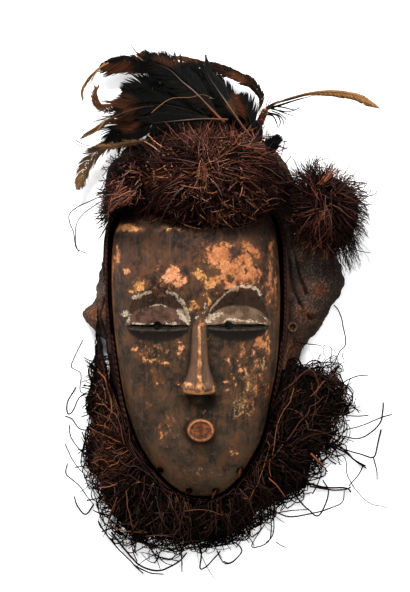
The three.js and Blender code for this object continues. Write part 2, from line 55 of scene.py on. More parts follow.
EYES = [
    {"inner": -10, "outer": -80, "pupil": -45, "slit": 21.5, "lid_top": 44, "brow_top": 63.5},
    {"inner": 8, "outer": 77, "pupil": 32, "slit": 22, "lid_top": 44.5, "brow_top": 63.5},
]
SOCKET_DEPTH = 6.2
HOLLOW_LENGTH = 15
SLIT_WIDTH = 3.6
PUPIL_RADIUS = 4.4
NOSE_X = 0.6
NOSE_STATIONS = np.array([
    [34, 5, 1], [20, 8.2, 6], [0, 9.4, 11], [-20, 10.9, 16], [-30, 13.2, 18], [-38, 16.2, 19.4],
    [-46, 17.6, 20], [-51, 16.4, 17.5], [-53, 13, 13],
])
MOUTH_X, MOUTH_Y, MOUTH_RADIUS, MOUTH_SQUASH = 2, -92.6, 15.3, 0.85
LACING_BEARINGS = [253, 266.2, 276.4, 288]
LACING_RADIUS = 4
LACING_INSET = 7


def smooth_rows(rows, shares):
    """A uniform Catmull-Rom curve through the rows, read at shares from 0 to 1 of the way over them."""
    rows = np.asarray(rows, float)
    padded = np.vstack([2 * rows[0] - rows[1], rows, 2 * rows[-1] - rows[-2]])
    place = np.clip(np.asarray(shares, float), 0, 1) * (len(rows) - 1)
    first = np.minimum(place.astype(int), len(rows) - 2)
    t = (place - first)[..., None]
    a, b, c, d = (padded[first + i] for i in range(4))
    run_in, run_out = (c - a) / 2, (d - b) / 2
    cubic = 2 * b - 2 * c + run_in + run_out
    square = -3 * b + 3 * c - 2 * run_in - run_out
    return b + t * (run_in + t * (square + t * cubic))


def smooth_line(rows, count):
    """Places spread over the smooth curve through the rows, which may also be given as x and y in turn."""
    rows = np.asarray(rows, float)
    return smooth_rows(rows.reshape(-1, 2) if rows.ndim == 1 else rows, np.linspace(0, 1, count))


def table_at(table, place, column=1):
    """A column of a table, read at places between its rows, which its first column holds."""
    return np.interp(place, table[:, 0], table[:, column])


def rows_at(at, places, rows):
    """Rows of numbers that belong to some places, read between them."""
    return np.stack([np.interp(at, places, column) for column in rows.T], -1)


def unit(vectors):
    return vectors / (np.linalg.norm(vectors, axis=-1, keepdims=True) + 1e-9)


def covered_along(line):
    """How far along a line each of its points lies."""
    return np.concatenate([[0], np.cumsum(np.linalg.norm(np.diff(line, axis=0), axis=1))])


def bearing_of(x, y):
    """The bearing of places on the page, from 0 to 360 degrees."""
    return np.degrees(np.arctan2(y, x)) % 360


SPINE_SHARES = np.linspace(0, 1, 6001)
SPINE = smooth_rows(FACE_STATIONS, SPINE_SHARES)
face_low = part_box("face_carving")[0]
SHIFT = np.array([
    face_low.x * 1000 - SPINE[:, 1].min(),
    face_low.y * 1000 - FACE_STATIONS[0, 0],
    0.0,
])


def in_frame(points):
    """Points in millimetres in the carver's frame, as metres in the shared frame."""
    return (np.asarray(points, float) + SHIFT) / 1000


# The camera hangs straight above the mask, as in the photograph.
CAMERA_PLACE = [6.6, 53.9, 1800]
LENS = 96.19
camera = bpy.data.objects.new("camera", bpy.data.cameras.new("camera"))
camera.data.sensor_width = 36
camera.data.lens = LENS
camera.location = in_frame(CAMERA_PLACE)
bpy.context.collection.objects.link(camera)
bpy.context.scene.camera = camera


def soft_light(name, place, size, power):
    """A round lamp that shines at the middle of the mask."""
    light = bpy.data.objects.new(name, bpy.data.lights.new(name, "AREA"))
    light.data.shape = "DISK"
    light.data.size = size
    light.data.energy = power
    light.location = place
    light.rotation_euler = (-Vector(place)).to_track_quat("-Z", "Y").to_euler()
    bpy.context.collection.objects.link(light)


# Soft light, most of it from above the crown, as the shadows under the brows and the nose show.
soft_light("light_over_crown", (-0.3, 1.6, 1.35), 0.7, 58)
soft_light("light_from_right", (1.4, 0.5, 1.4), 1.0, 12)
soft_light("light_from_left", (-1.5, 0.3, 1.3), 1.0, 10)
room = bpy.data.worlds.new("room")
room.use_nodes = True
room.node_tree.nodes["Background"].inputs["Color"].default_value = (0.96, 0.98, 1, 1)
room.node_tree.nodes["Background"].inputs["Strength"].default_value = 0.4
bpy.context.scene.world = room
bpy.context.scene.view_settings.view_transform = "Standard"


class Wire:
    """One output of a material's node. Arithmetic on it adds the Math nodes."""

    def __init__(self, finish, socket):
        self.finish = finish
        self.socket = socket

    def sum_of(self, operation, *values):
        return self.finish.node("ShaderNodeMath", {"operation": operation}, dict(enumerate(values)))

    def __add__(self, other):
        return self.sum_of("ADD", self, other)

    def __radd__(self, other):
        return self.sum_of("ADD", other, self)

    def __sub__(self, other):
        return self.sum_of("SUBTRACT", self, other)

    def __rsub__(self, other):
        return self.sum_of("SUBTRACT", other, self)

    def __mul__(self, other):
        return self.sum_of("MULTIPLY", self, other)

    def __rmul__(self, other):
        return self.sum_of("MULTIPLY", other, self)

    def most(self, other):
        return self.sum_of("MAXIMUM", self, other)

    def sine(self):
        return self.sum_of("SINE", self)

    def size(self):
        return self.sum_of("ABSOLUTE", self)

    def step(self, low, high):
        """0 below low, 1 above high, and smooth between."""
        spread = {"interpolation_type": "SMOOTHSTEP"}
        values = {"Value": self, "From Min": low, "From Max": high}
        return self.finish.node("ShaderNodeMapRange", spread, values)

    def uneven(self, *noises):
        """This value with noises on it, each with how much it counts."""
        total = self
        for noise, weight in noises:
            total = total + (noise - 0.5) * weight
        return total


class Finish:
    """A material that is built from nodes."""

    def __init__(self, name, **plain):
        self.material = bpy.data.materials.new(name)
        self.material.use_nodes = True
        self.tree = self.material.node_tree
        self.shader = self.tree.nodes["Principled BSDF"]
        for socket, value in plain.items():
            self.shader.inputs[socket.replace("_", " ")].default_value = value

    def put(self, socket, value):
        if isinstance(value, Wire):
            self.tree.links.new(value.socket, socket)
        elif isinstance(value, (tuple, list)) and len(value) == 3 and socket.type == "RGBA":
            socket.default_value = (*value, 1)
        else:
            socket.default_value = value

    def node(self, kind, settings, values, output=0):
        made = self.tree.nodes.new(kind)
        for name, value in settings.items():
            if name == "stops":
                ramp = made.color_ramp
                while len(ramp.elements) < len(value):
                    ramp.elements.new(0.5)
                for element, (place, colour) in zip(ramp.elements, value):
                    element.position = place
                    element.color = (*colour, 1)
            else:
                setattr(made, name, value)
        for name, value in values.items():
            self.put(made.inputs[name], value)
        return Wire(self, made.outputs[output])

    def vector(self, operation, *values, output=0):
        return self.node("ShaderNodeVectorMath", {"operation": operation}, dict(enumerate(values)), output)

    def place(self, *scale):
        """The place on the object, in millimetres, stretched by a scale for each axis."""
        spot = self.node("ShaderNodeTexCoord", {}, {}, "Object")
        return self.vector("MULTIPLY", spot, tuple(1000 * each for each in scale or (1, 1, 1)))

    def noise(self, size, detail=3, roughness=0.5, at=None, distortion=0):
        values = {"Vector": at or self.place(), "Scale": 1 / size, "Detail": detail, "Roughness": roughness}
        return self.node("ShaderNodeTexNoise", {}, {**values, "Distortion": distortion})

    def value(self, name):
        return self.node("ShaderNodeAttribute", {"attribute_name": name}, {}, "Fac")

    def mix(self, share, first, second, blend="MIX"):
        settings = {"data_type": "RGBA", "blend_type": blend}
        return self.node("ShaderNodeMix", settings, {0: share, 6: first, 7: second}, 2)

    def coated(self, colour, *coats):
        """A colour under several coats, each with how much of it shows and its own colour."""
        for share, coat in coats:
            colour = self.mix(share, colour, coat)
        return colour

    def ramp(self, share, *stops):
        return self.node("ShaderNodeValToRGB", {"stops": stops}, {"Fac": share}, "Color")

    def feed(self, **sockets):
        for name, value in sockets.items():
            self.put(self.shader.inputs[name.replace("_", " ")], value)

    def bump(self, height, depth, strength=1):
        """Relief of a depth in millimetres, where height runs from 0 to 1."""
        values = {"Height": height, "Distance": depth / 1000, "Strength": strength}
        self.feed(Normal=self.node("ShaderNodeBump", {}, values, "Normal"))


LUMP_TABLE = np.random.default_rng(7).uniform(-1, 1, 8192)


def lumps(points, size, seed=0):
    """Smooth seeded unevenness from -1 to 1, over points of up to three numbers, with lumps of that size."""
    cells = np.asarray(points, float) / size
    base = np.floor(cells).astype(np.int64)
    part = cells - base
    part = part * part * (3 - 2 * part)
    primes = np.array([73856093, 19349663, 83492791])[:cells.shape[-1]]
    total = 0.0
    for corner in np.ndindex(*(2,) * cells.shape[-1]):
        keys = ((base + corner) * primes).sum(-1) + 7919 * seed
        share = np.prod(np.where(corner, part, 1 - part), axis=-1)
        total = total + share * LUMP_TABLE[(keys ^ (keys >> 13)) % len(LUMP_TABLE)]
    return total


def rough_lumps(points, size, seed):
    """Lumps with smaller lumps on them."""
    return sum(lumps(points, size / 2 ** i, seed + i) / 2 ** i for i in range(3)) / 1.6


def pushes(points, size, seed):
    """Smooth seeded pushes across the page, two numbers from -1 to 1 for each point."""
    return np.stack([lumps(points, size, seed + i) for i in range(2)], -1)


def ease(value, low, high):
    """0 below low, 1 above high, and smooth between."""
    t = np.clip((value - low) / (high - low), 0, 1)
    return t * t * (3 - 2 * t)


def new_piece(name, points, faces, values=None):
    """A mesh from points in millimetres in the carver's frame, and faces that all have the same number of
    corners, or lists of such faces."""
    groups = [np.asarray(group, np.int32) for group in (faces if isinstance(faces, list) else [faces])]
    corners = np.concatenate([group.ravel() for group in groups])
    sizes = np.concatenate([np.full(len(group), group.shape[1], np.int32) for group in groups])
    mesh = bpy.data.meshes.new(name)
    mesh.vertices.add(len(points))
    mesh.vertices.foreach_set("co", in_frame(points).astype(np.float32).ravel())
    mesh.loops.add(len(corners))
    mesh.loops.foreach_set("vertex_index", corners)
    mesh.polygons.add(len(sizes))
    mesh.polygons.foreach_set("loop_start", np.concatenate([[0], np.cumsum(sizes)[:-1]]).astype(np.int32))
    mesh.update(calc_edges=True)
    for key, value in (values or {}).items():
        set_values(mesh, key, value)
    mesh.shade_smooth()
    piece = bpy.data.objects.new(name, mesh)
    bpy.context.collection.objects.link(piece)
    return piece


def set_values(mesh, name, value):
    made = mesh.attributes.new(name, "FLOAT", "POINT")
    made.data.foreach_set("value", np.asarray(value, np.float32).ravel())


def grid_faces(rows, columns, first=0, wrap=False):
    """Quads over a grid of points, rows by columns, closed round the columns if wrap is set."""
    r = np.arange(rows - 1)[:, None] * columns
    c = np.arange(columns if wrap else columns - 1)[None, :]
    n = (c + 1) % columns
    return first + np.stack([r + c, r + n, r + columns + n, r + columns + c], -1).reshape(-1, 4)


def tube_faces(rows, columns):
    """The faces of a tube with closed ends, whose points go round it ring by ring."""
    ring = np.arange(columns)[None, :]
    return [grid_faces(rows, columns, wrap=True), ring[:, ::-1], (rows - 1) * columns + ring]


def finish_piece(piece, slot, finish, *nodes):
    """Gives a piece its material, and rides it in place of the part's own nodes."""
    piece.data.materials.clear()
    piece.data.materials.append(finish.material)
    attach(piece, "root")
    if nodes:
        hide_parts(*nodes)
    return piece


# The carved face.
def front_at(x, y):
    """The height of the plain front of the face, before the carving."""
    share = np.interp(y, SPINE[:, 0], SPINE_SHARES)
    left, right, height = (np.interp(share, SPINE_SHARES, SPINE[:, i]) for i in (1, 2, 3))
    across = np.clip(np.abs((2 * x - left - right) / (right - left)), 0, 1)
    return height * (1 - across ** SIDE_POWER) ** (1 / FRONT_POWER)


def eye_bow(eye, x):
    """How far the brow's arc has risen at a place across the eye, from 0 at the corners to 1."""
    middle, half = (eye["inner"] + eye["outer"]) / 2, abs(eye["inner"] - eye["outer"]) / 2
    return np.sqrt(np.clip(1 - ((x - middle) / half) ** 2, 0, 1))


def lower_lid_line(eye, x, y):
    """How far a place lies below the middle line of the eye's lower lid."""
    return eye["slit"] - y - 1.6 - 3.4 * eye_bow(eye, x)


def carved_relief(x, y):
    """What the carver left standing or cut away, as a height over the plain front."""
    relief = np.zeros_like(x)
    for eye in EYES:
        bow = eye_bow(eye, x)
        inside = ease(bow, 0.02, 0.25)
        lid = np.clip((y - eye["slit"]) / (eye["lid_top"] - eye["slit"]) / np.maximum(bow, 0.05), -0.2, 1.3)
        lid_height = 1.8 * bow - 2.2 * lid - 2.8 * lid ** 2
        lid_height = lid_height + (-SOCKET_DEPTH - lid_height) * ease(lid, 0.93, 1.05)
        brow = eye["slit"] + (eye["brow_top"] - eye["slit"]) * bow
        sunk = lid_height * ease(brow - y, -0.7, 1.3) * inside
        relief = np.where(y >= eye["slit"], sunk, relief)
        drop = np.clip((eye["slit"] - y) / (HOLLOW_LENGTH * np.maximum(bow, 0.05)), 0, 1)
        lower_lid = 2.2 * np.exp(-(lower_lid_line(eye, x, y) / 0.9) ** 2)
        hollow = (lower_lid - 5.5 * (1 - drop ** 1.3)) * ease(bow, 0.05, 0.6)
        relief = np.where(y < eye["slit"], hollow, relief)
    half = np.interp(-y, -NOSE_STATIONS[:, 0], NOSE_STATIONS[:, 1])
    rise = np.interp(-y, -NOSE_STATIONS[:, 0], NOSE_STATIONS[:, 2], left=0, right=0)
    away = np.abs(x - NOSE_X) / half
    rise = rise * ease(y - 3 * np.minimum(away, 1) ** 2, -54.6, -52.4) * ease(-y, -40, -26)
    blade = np.interp(away, [0, 0.12, 0.22, 0.45, 0.78, 0.96, 1.06], [1, 0.97, 0.82, 0.58, 0.36, 0.1, -0.08])
    wing = np.exp(-((y + 45) / 7) ** 2) * 0.26 * ease(away, 0.25, 0.6) * ease(-away, -1.03, -0.8)
    nose = np.maximum(relief * ease(away, 0.7, 1.06), rise * (blade + wing))
    relief = np.where(away < 1.06, nose, relief)
    out = np.hypot(x - MOUTH_X, (y - MOUTH_Y) / MOUTH_SQUASH) / MOUTH_RADIUS
    relief = relief - 1.4 * ease(out, 0.98, 1.06) * ease(-out, -1.45, -1.1)
    boss = np.interp(out, [0, 0.6, 0.7, 0.79, 0.86, 0.93, 1.0, 1.06], [6.3, 6.2, 6.7, 7.9, 7.9, 6.9, 3, 0])
    return np.maximum(relief, boss)


def spaced(measure):
    """Shares along a measured run, so that each step is 1 long."""
    count = int(measure[-1])
    return np.interp(np.linspace(0, measure[-1], count + 1), measure, np.linspace(0, 1, len(measure)))


def cross_section(turns):
    """The plain section of the face, from its left edge to its right one: how far across, and how high."""
    across = -np.sign(np.cos(turns)) * np.abs(np.cos(turns)) ** (2 / SIDE_POWER)
    return across, np.abs(np.sin(turns)) ** (2 / FRONT_POWER)


def dome_points(shares, turns, grow=0):
    """The places of the face as a plain dome, row by row."""
    middle = (FACE_STATIONS[0, 0] + FACE_STATIONS[-1, 0]) / 2
    stretch = 1 + grow / ((FACE_STATIONS[-1, 0] - FACE_STATIONS[0, 0]) / 2)
    rows = smooth_rows(FACE_STATIONS, shares)
    height = np.maximum(rows[:, 3] + grow, 0.3)[:, None]
    centre = ((rows[:, 1] + rows[:, 2]) / 2)[:, None]
    half = np.maximum((rows[:, 2] - rows[:, 1]) / 2 + grow, 0.3)[:, None]
    across, up = cross_section(turns)
    y = np.repeat((middle + (rows[:, 0] - middle) * stretch)[:, None], len(turns), 1)
    return np.stack([centre + half * across, y, height * up], -1)


# How finely the face is divided, in millimetres: over its front and at its sides, along its middle and at
# its ends, and at the low edge of the nose.
FRONT_STEP, SIDE_STEP = 0.88, 2.8
MIDDLE_STEP, END_STEP, NOSE_STEP = 1.02, 1.9, 0.4


def make_face():
    side, up = cross_section(np.linspace(0, math.pi, 20001))
    side, up = side * 95, up * 86
    fineness = np.where(np.abs(side[1:]) < 84, 1 / FRONT_STEP, 1 / SIDE_STEP)
    across = np.concatenate([[0], np.cumsum(np.hypot(np.diff(side), np.diff(up)) * fineness)])
    columns = spaced(across) * math.pi
    y = SPINE[1:, 0]
    fineness = np.where((y > -112) & (y < 74), 1 / MIDDLE_STEP, 1 / END_STEP)
    fineness = np.where((y > -57) & (y < -48), 1 / NOSE_STEP, fineness)
    steps = np.hypot(np.diff(SPINE[:, 0]), 0.5 * np.diff(SPINE[:, 3])) * fineness
    shares = spaced(np.concatenate([[0], np.cumsum(steps)]))
    front = dome_points(shares, columns)
    x, y, z = front[..., 0], front[..., 1], front[..., 2]
    flat = np.stack([x, y], -1)
    upright = ease(z / np.maximum(front_at(np.zeros_like(y), y), 1), 0.25, 0.8)
    tool_marks = 0.34 * lumps(flat * [1, 0.45], 11, 3) + 0.12 * lumps(flat * [1, 0.6], 4.5, 4)
    front[..., 2] = z + (carved_relief(x, y) + tool_marks) * upright
    inner_columns = np.linspace(0, math.pi, 31)
    hollow = dome_points(shares, inner_columns, -WOOD)
    hollow[..., 2] = np.minimum(hollow[..., 2], np.maximum(hollow[..., 2] - 1.5, 0))
    # The first and last rows shrink to one point each, so that the rim closes.
    rows, wide, narrow = len(shares), len(columns), len(inner_columns)
    ends = [[5, FACE_STATIONS[0, 0], 0], [-4.5, FACE_STATIONS[-1, 0], 0]]
    ends += [[5, hollow[0, 0, 1], 0], [-4.5, hollow[-1, 0, 1], 0]]
    outside = front[1:-1].reshape(-1, 3)
    inside = hollow[1:-1].reshape(-1, 3)
    inside_from = len(outside)
    ends_from = inside_from + len(inside)
    points = np.concatenate([outside, inside, ends])
    count = rows - 2
    quads = [grid_faces(count, wide), grid_faces(count, narrow, inside_from)[:, ::-1]]
    left, right = np.arange(count) * wide, np.arange(count) * wide + wide - 1
    left_in, right_in = (inside_from + np.arange(count) * narrow + k for k in (0, narrow - 1))
    quads.append(np.stack([left[:-1], left[1:], left_in[1:], left_in[:-1]], -1))
    quads.append(np.stack([right[1:], right[:-1], right_in[:-1], right_in[1:]], -1))
    chin, crown, chin_in, crown_in = range(ends_from, ends_from + 4)
    triangles = []
    for pole, pole_in, row in ((chin, chin_in, 0), (crown, crown_in, count - 1)):
        sign = 1 if row == 0 else -1
        for start, number, middle, turn in ((0, wide, pole, sign), (inside_from, narrow, pole_in, -sign)):
            ring = start + row * number + np.arange(number)
            fan = np.stack([np.full(number - 1, middle), ring[1:], ring[:-1]], -1)
            triangles.append(fan if turn == 1 else fan[:, [0, 2, 1]])
        for edge, edge_in, turn in ((left[row], left_in[row], sign), (right[row], right_in[row], -sign)):
            quad = [pole, edge, edge_in, pole_in]
            quads.append(np.array([quad if turn == 1 else quad[::-1]]))
    return new_piece("carved_face", points, [np.concatenate(quads), np.concatenate(triangles)])


def prism(name, outline, low, high):
    """A block over a closed outline of [x, y], from low to high, for cutting."""
    points = np.concatenate([np.column_stack([outline, np.full(len(outline), z)]) for z in (low, high)])
    return new_piece(name, points, tube_faces(2, len(outline)))


def cut(piece, cutter):
    """Takes the cutter out of the piece, and puts the cutter away."""
    carving = piece.modifiers.new("cut", "BOOLEAN")
    carving.operation = "DIFFERENCE"
    carving.solver = "MANIFOLD"
    carving.object = cutter
    made = bpy.data.meshes.new_from_object(piece.evaluated_get(bpy.context.evaluated_depsgraph_get()))
    piece.modifiers.clear()
    piece.data = made
    bpy.data.objects.remove(cutter)


def slit_outline(eye):
    """The thin opening under an eyelid, with the round pupil in it and a slightly uneven edge."""
    start = eye["outer"] + 4 * np.sign(eye["inner"] - eye["outer"])
    x = start + (eye["inner"] - start) * (0.5 - 0.5 * np.cos(np.linspace(0.06, 0.985, 60) * math.pi))
    half = SLIT_WIDTH / 2 * (0.22 + 0.66 * eye_bow(eye, x))
    pupil = np.sqrt(np.clip((PUPIL_RADIUS + 0.5) ** 2 - (x - eye["pupil"]) ** 2, 0, None))
    top = eye["slit"] + np.maximum(half + 0.25 * np.sin(x * 0.31), pupil)
    low = eye["slit"] - np.maximum(half + 0.3 * np.sin(x * 0.23 + 2), pupil)
    order = 1 if x[0] < x[-1] else -1
    x, top, low = x[::order], top[::order], low[::order]
    return np.concatenate([np.stack([x, low], -1), np.stack([x, top], -1)[::-1]])


carved_face = make_face()
for eye in EYES:
    cut(carved_face, prism("slit_cutter", slit_outline(eye), 40, 110))


class EdgeLine:
    """The edge of the face, grown by a gap, as distances from the face's middle by bearing."""

    def __init__(self, gap):
        rows = smooth_line(FACE_STATIONS, 161)
        outline = np.concatenate([rows[:, [2, 0]], rows[::-1][:, [1, 0]]])
        run = unit(np.roll(outline, -2, 0) - np.roll(outline, 2, 0))
        grown = outline + gap * np.stack([run[:, 1], -run[:, 0]], -1)
        bearing = bearing_of(*grown.T)
        order = np.argsort(bearing, kind="stable")
        self.bearings = bearing[order]
        self.distances = np.linalg.norm(grown, axis=1)[order]

    def at(self, bearing):
        return np.interp(np.asarray(bearing) % 360, self.bearings, self.distances, period=360)


wood_edge = EdgeLine(0)


def on_page(bearing, distance, z):
    turn = np.radians(bearing)
    return np.stack(np.broadcast_arrays(distance * np.cos(turn), distance * np.sin(turn), z), -1)


def lacing_drill(bearing):
    """A drill through the edge of the chin, that leans in towards the hollow."""
    edge = on_page(bearing, wood_edge.at(bearing) - LACING_INSET, 0)
    edge[2] = front_at(edge[0], edge[1])
    inward = unit(np.array([*(-0.45 * unit(edge[:2])), -0.89]))
    middle = edge + 6 * inward
    across = unit(np.cross(inward, [0, 0, 1]))
    beyond = np.cross(inward, across)
    turns = np.linspace(0, 2 * math.pi, 24, endpoint=False)[:, None]
    ring = LACING_RADIUS * (np.cos(turns) * across + np.sin(turns) * beyond)
    points = np.concatenate([middle + ring - 20 * inward, middle + ring + 20 * inward])
    return new_piece("lacing_cutter", points, tube_faces(2, len(ring)))


for bearing in LACING_BEARINGS:
    cut(carved_face, lacing_drill(bearing))

# Where the dark skin of the wood has worn off, by what shows there. Each place has its middle and half sizes
# on the face, and how far it leans to the left, in degrees.
PINK, ORANGE, OCHRE = 0, 0.5, 1
BARE_PLACES = {
    PINK: [
        (-30.2, 76.2, 11, 11, 0), (-25.1, 64.7, 5.8, 6.4, 0), (-17.4, 71.1, 4.2, 5, 0),
        (-78.5, 80.6, 3.6, 5.4, -15), (-46.8, 85.1, 2.6, 1.6, 0), (-21, -1.8, 3, 8.7, 12),
        (-68, -4, 2.6, 5, -40), (46.5, -8.2, 2, 7.4, -8), (53.6, 2.7, 1.5, 2.3, 0), (59.6, -6.9, 2.4, 3, 0),
        (35, -18.4, 2.2, 4.4, 15), (-48.1, -38.6, 1.6, 2, 0), (-56.2, -64.7, 1.5, 1.9, 0),
        (-25.1, -40.8, 1.7, 2, 0), (28.9, -38.9, 2, 1.5, 0), (38.9, -44, 1.5, 1.8, 0),
        (28.9, -48.1, 2.2, 2.2, 0), (47, 62, 17, 2.4, 10), (-44, -98, 2, 6, 12), (62, -22, 2, 5, -8),
        (52, -30, 1.6, 4, 0), (45, -27, 1.5, 3, 0), (34, -33, 1.5, 2.5, 0), (44, -74, 1.2, 5, 0),
    ],
    ORANGE: [
        (26, 98, 22, 11, -8), (51, 78, 14.5, 13.5, 0), (35, 70, 9, 7.5, 0), (34, 86, 14, 13, 0),
        (16, 72, 9, 5, 20), (46, 96, 8, 10, 30), (57.4, 104.9, 12.8, 5.8, -35), (81.3, 108.8, 3.3, 9, 0),
        (76.2, 72.3, 2.6, 19, -3), (77.5, 2, 2.3, 14, 0), (-92, 103, 1.8, 8, 0), (-93, 95.5, 3.8, 5, 0),
        (-97, 80, 1.6, 14, -4), (-66, 128, 6, 2.6, -10), (-4, 40.5, 3.4, 1.8, -40), (-61, -13, 2, 5, -40),
        (4.5, 24, 3, 3.5, 0), (-84.6, 130, 8, 4, -10), (20, 68, 12, 3, 30), (67, 4, 6, 8, 0),
        (-99, 100, 1.6, 20, 2), (84, 60, 1.8, 22, 0), (68, -34, 2, 6, 0), (63, -48, 2, 5, 0),
        (74, -52, 1.5, 6, 0), (50, -62, 1.4, 4, 0), (60, -64, 1.5, 4, 0),
    ],
    OCHRE: [
        (1.2, 74.9, 8, 5.8, 10), (9.5, 66.6, 7.7, 5.5, -25), (-63.4, 65.3, 8.8, 7.6, 0),
        (-72.1, 58.5, 4.1, 2.8, 0), (-77.2, 129.5, 8.2, 5.8, -10), (-30.8, 125.8, 9, 1.4, 0),
        (-8.4, 44.2, 3.2, 7.7, -30), (10.7, 48, 2.6, 7.7, 30), (9.4, 41.5, 1.5, 4.6, -20),
        (-50, -16.6, 11, 2, -5), (-38, -18.6, 3.4, 1.6, 0), (41.4, -116.3, 1.6, 6.1, 40),
        (-42.7, -98.8, 1.6, 5.5, -10), (-57, 15.4, 5.6, 1.5, 0), (73, -2, 2.6, 8, 0),
        (36.6, -120, 1.8, 6.5, 24), (52, -46, 1.4, 7, -5), (71, -18, 1.2, 6, 0),
    ],
}
KEPT_DARK = [
    (18.5, 79, 7, 5, 0), (7, 85.5, 7.5, 4.6, 10), (34, 74, 5.6, 4.4, 0), (41, 101, 3.4, 6, 20),
    (31, 62, 3.2, 3.5, 0), (40, 104, 5, 4, 0), (36, 95.4, 2.6, 4.6, 0), (50.6, 79, 2.2, 5.4, 0),
    (46.4, 101.6, 3, 3.6, 0), (60, 84, 2.4, 3, 0),
]
RUSTY_PLACES = [
    (-66, -6, 8, 15, -38), (-92, 20, 4, 34, -4), (86, 40, 4, 46, 2), (-14, 88, 20, 5, 0),
    (-62, 82, 14, 8, 0), (40, -110, 10, 30, -25), (-40, -130, 26, 7, -30), (-0.8, 124.7, 6.4, 3.8, 0),
    (-3.3, 99, 9, 9, 0), (-56, 104, 10, 5, 0), (69.5, -2.5, 4.6, 8, 0), (2, 46, 13, 8, 0),
    (2.2, -124.9, 9, 6.5, 0), (7.6, -147.4, 11, 6.5, 0), (-22.6, -143.8, 4.7, 7.2, 0),
    (-26.5, -83.6, 4.7, 7.2, 0), (17.5, -76.4, 9, 4, 15), (-78.6, -60.2, 3.2, 18, 8),
    (-52.6, -122.2, 3.6, 8, 30), (52, -130, 4, 9, -35), (78, -40, 4, 22, 0), (66, 96, 14, 16, 0),
    (-80, 2, 7, 12, -20), (-44, -34, 8, 16, 10), (-30, -78, 6, 9, 0), (-62, -50, 6, 12, 0),
    (30, -60, 8, 8, 0), (60, -84, 8, 12, 20),
]
# Where small flecks and specks of bare wood show through the skin. The hollows get painted shade further on.
FLECKED_PLACES = [
    (58, -34, 30, 56, 0), (30, 90, 62, 32, 0), (-48, -6, 40, 20, 0), (-46, 62, 44, 24, 0),
    (-8, -44, 22, 14, 0), (-34, -92, 20, 26, 0), (6, -142, 36, 10, 0), (2, 20, 12, 40, 0),
]
SPECKLED_PLACES = [
    (46.3, -66, 12, 20, 0), (54, -42, 8, 12, 0), (68, -22, 6, 12, 0),
]
CREAM_LINES = [
    (2.0, -71.5, 51.8, -63, 54.3, -53.5, 58), (2.2, -35.3, 58.5, -25.1, 54.5, -18, 48),
    (2.5, -18, 48, -13.8, 38, -11, 24), (1.1, 9.2, 30.1, 13.3, 40.4, 19.7, 48, 27.4, 55.7, 37.6, 61.6),
    (1.6, 37.6, 61.8, 46, 64.4, 56, 63.6, 64, 61.5, 66.2, 56), (1.0, -53, 42, -45, 44.2, -34, 42),
    (1.6, 28, 26.4, 34, 28, 50, 27, 62, 25.4), (0.8, 62, 25.4, 72, 24), (0.45, 63, 37, 70, 31, 78, 25),
    (0.9, -72, 23.6, -50, 22.6, -26, 22.8),
]
CREAM_PLACES = [
    (-17.5, 31.5, 4.2, 11, 36), (-13.5, 27, 3.4, 5, 10), (13.4, 30.5, 7, 5.2, 12), (11, 27, 4, 4, 0),
    (21, 33, 6, 2.6, 14), (-80.5, 34, 5.4, 3.6, 0), (-77.5, 28, 2.4, 7, -12), (-30, 25, 5, 1.6, 0),
    (5, 37, 2.2, 1.8, 0), (6.4, 43, 1.8, 3.4, 0), (-3, 31, 1.5, 1.2, 0),
]


def within(points, places):
    """How deep inside the nearest of the places each point lies: 1 at its middle, 0 at its edge, then
    below 0."""
    deepest = np.full(len(points), -2.0)
    for x, y, wide, high, lean in places:
        c, s = math.cos(math.radians(lean)), math.sin(math.radians(lean))
        dx, dy = points[:, 0] - x, points[:, 1] - y
        out = np.hypot((dx * c + dy * s) / wide, (dy * c - dx * s) / high)
        deepest = np.maximum(deepest, (1 - out) * min(wide / 5, high / 5, 1))
    return deepest


def from_line(points, line):
    """How far each point is from a line, which is given as x and y in turn."""
    line = np.asarray(line, float).reshape(-1, 2)
    nearest = np.full(len(points), 1e3)
    for a, b in zip(line[:-1], line[1:]):
        away = points[:, :2] - a
        share = np.clip((away @ (b - a)) / ((b - a) @ (b - a)), 0, 1)
        nearest = np.minimum(nearest, np.linalg.norm(away - share[:, None] * (b - a), axis=1))
    return nearest


def mesh_points(piece):
    """The piece's points, in millimetres in the carver's frame."""
    flat = np.empty(len(piece.data.vertices) * 3, np.float32)
    piece.data.vertices.foreach_get("co", flat)
    return flat.reshape(-1, 3).astype(float) * 1000 - SHIFT


def ragged(points, reach, size, seed):
    """The points' places on the page, pushed about so that what is drawn there gets an uneven outline."""
    flat = points[:, :2]
    return flat + reach * (pushes(flat, size, seed) + 0.5 * pushes(flat, size / 2.6, seed + 2))


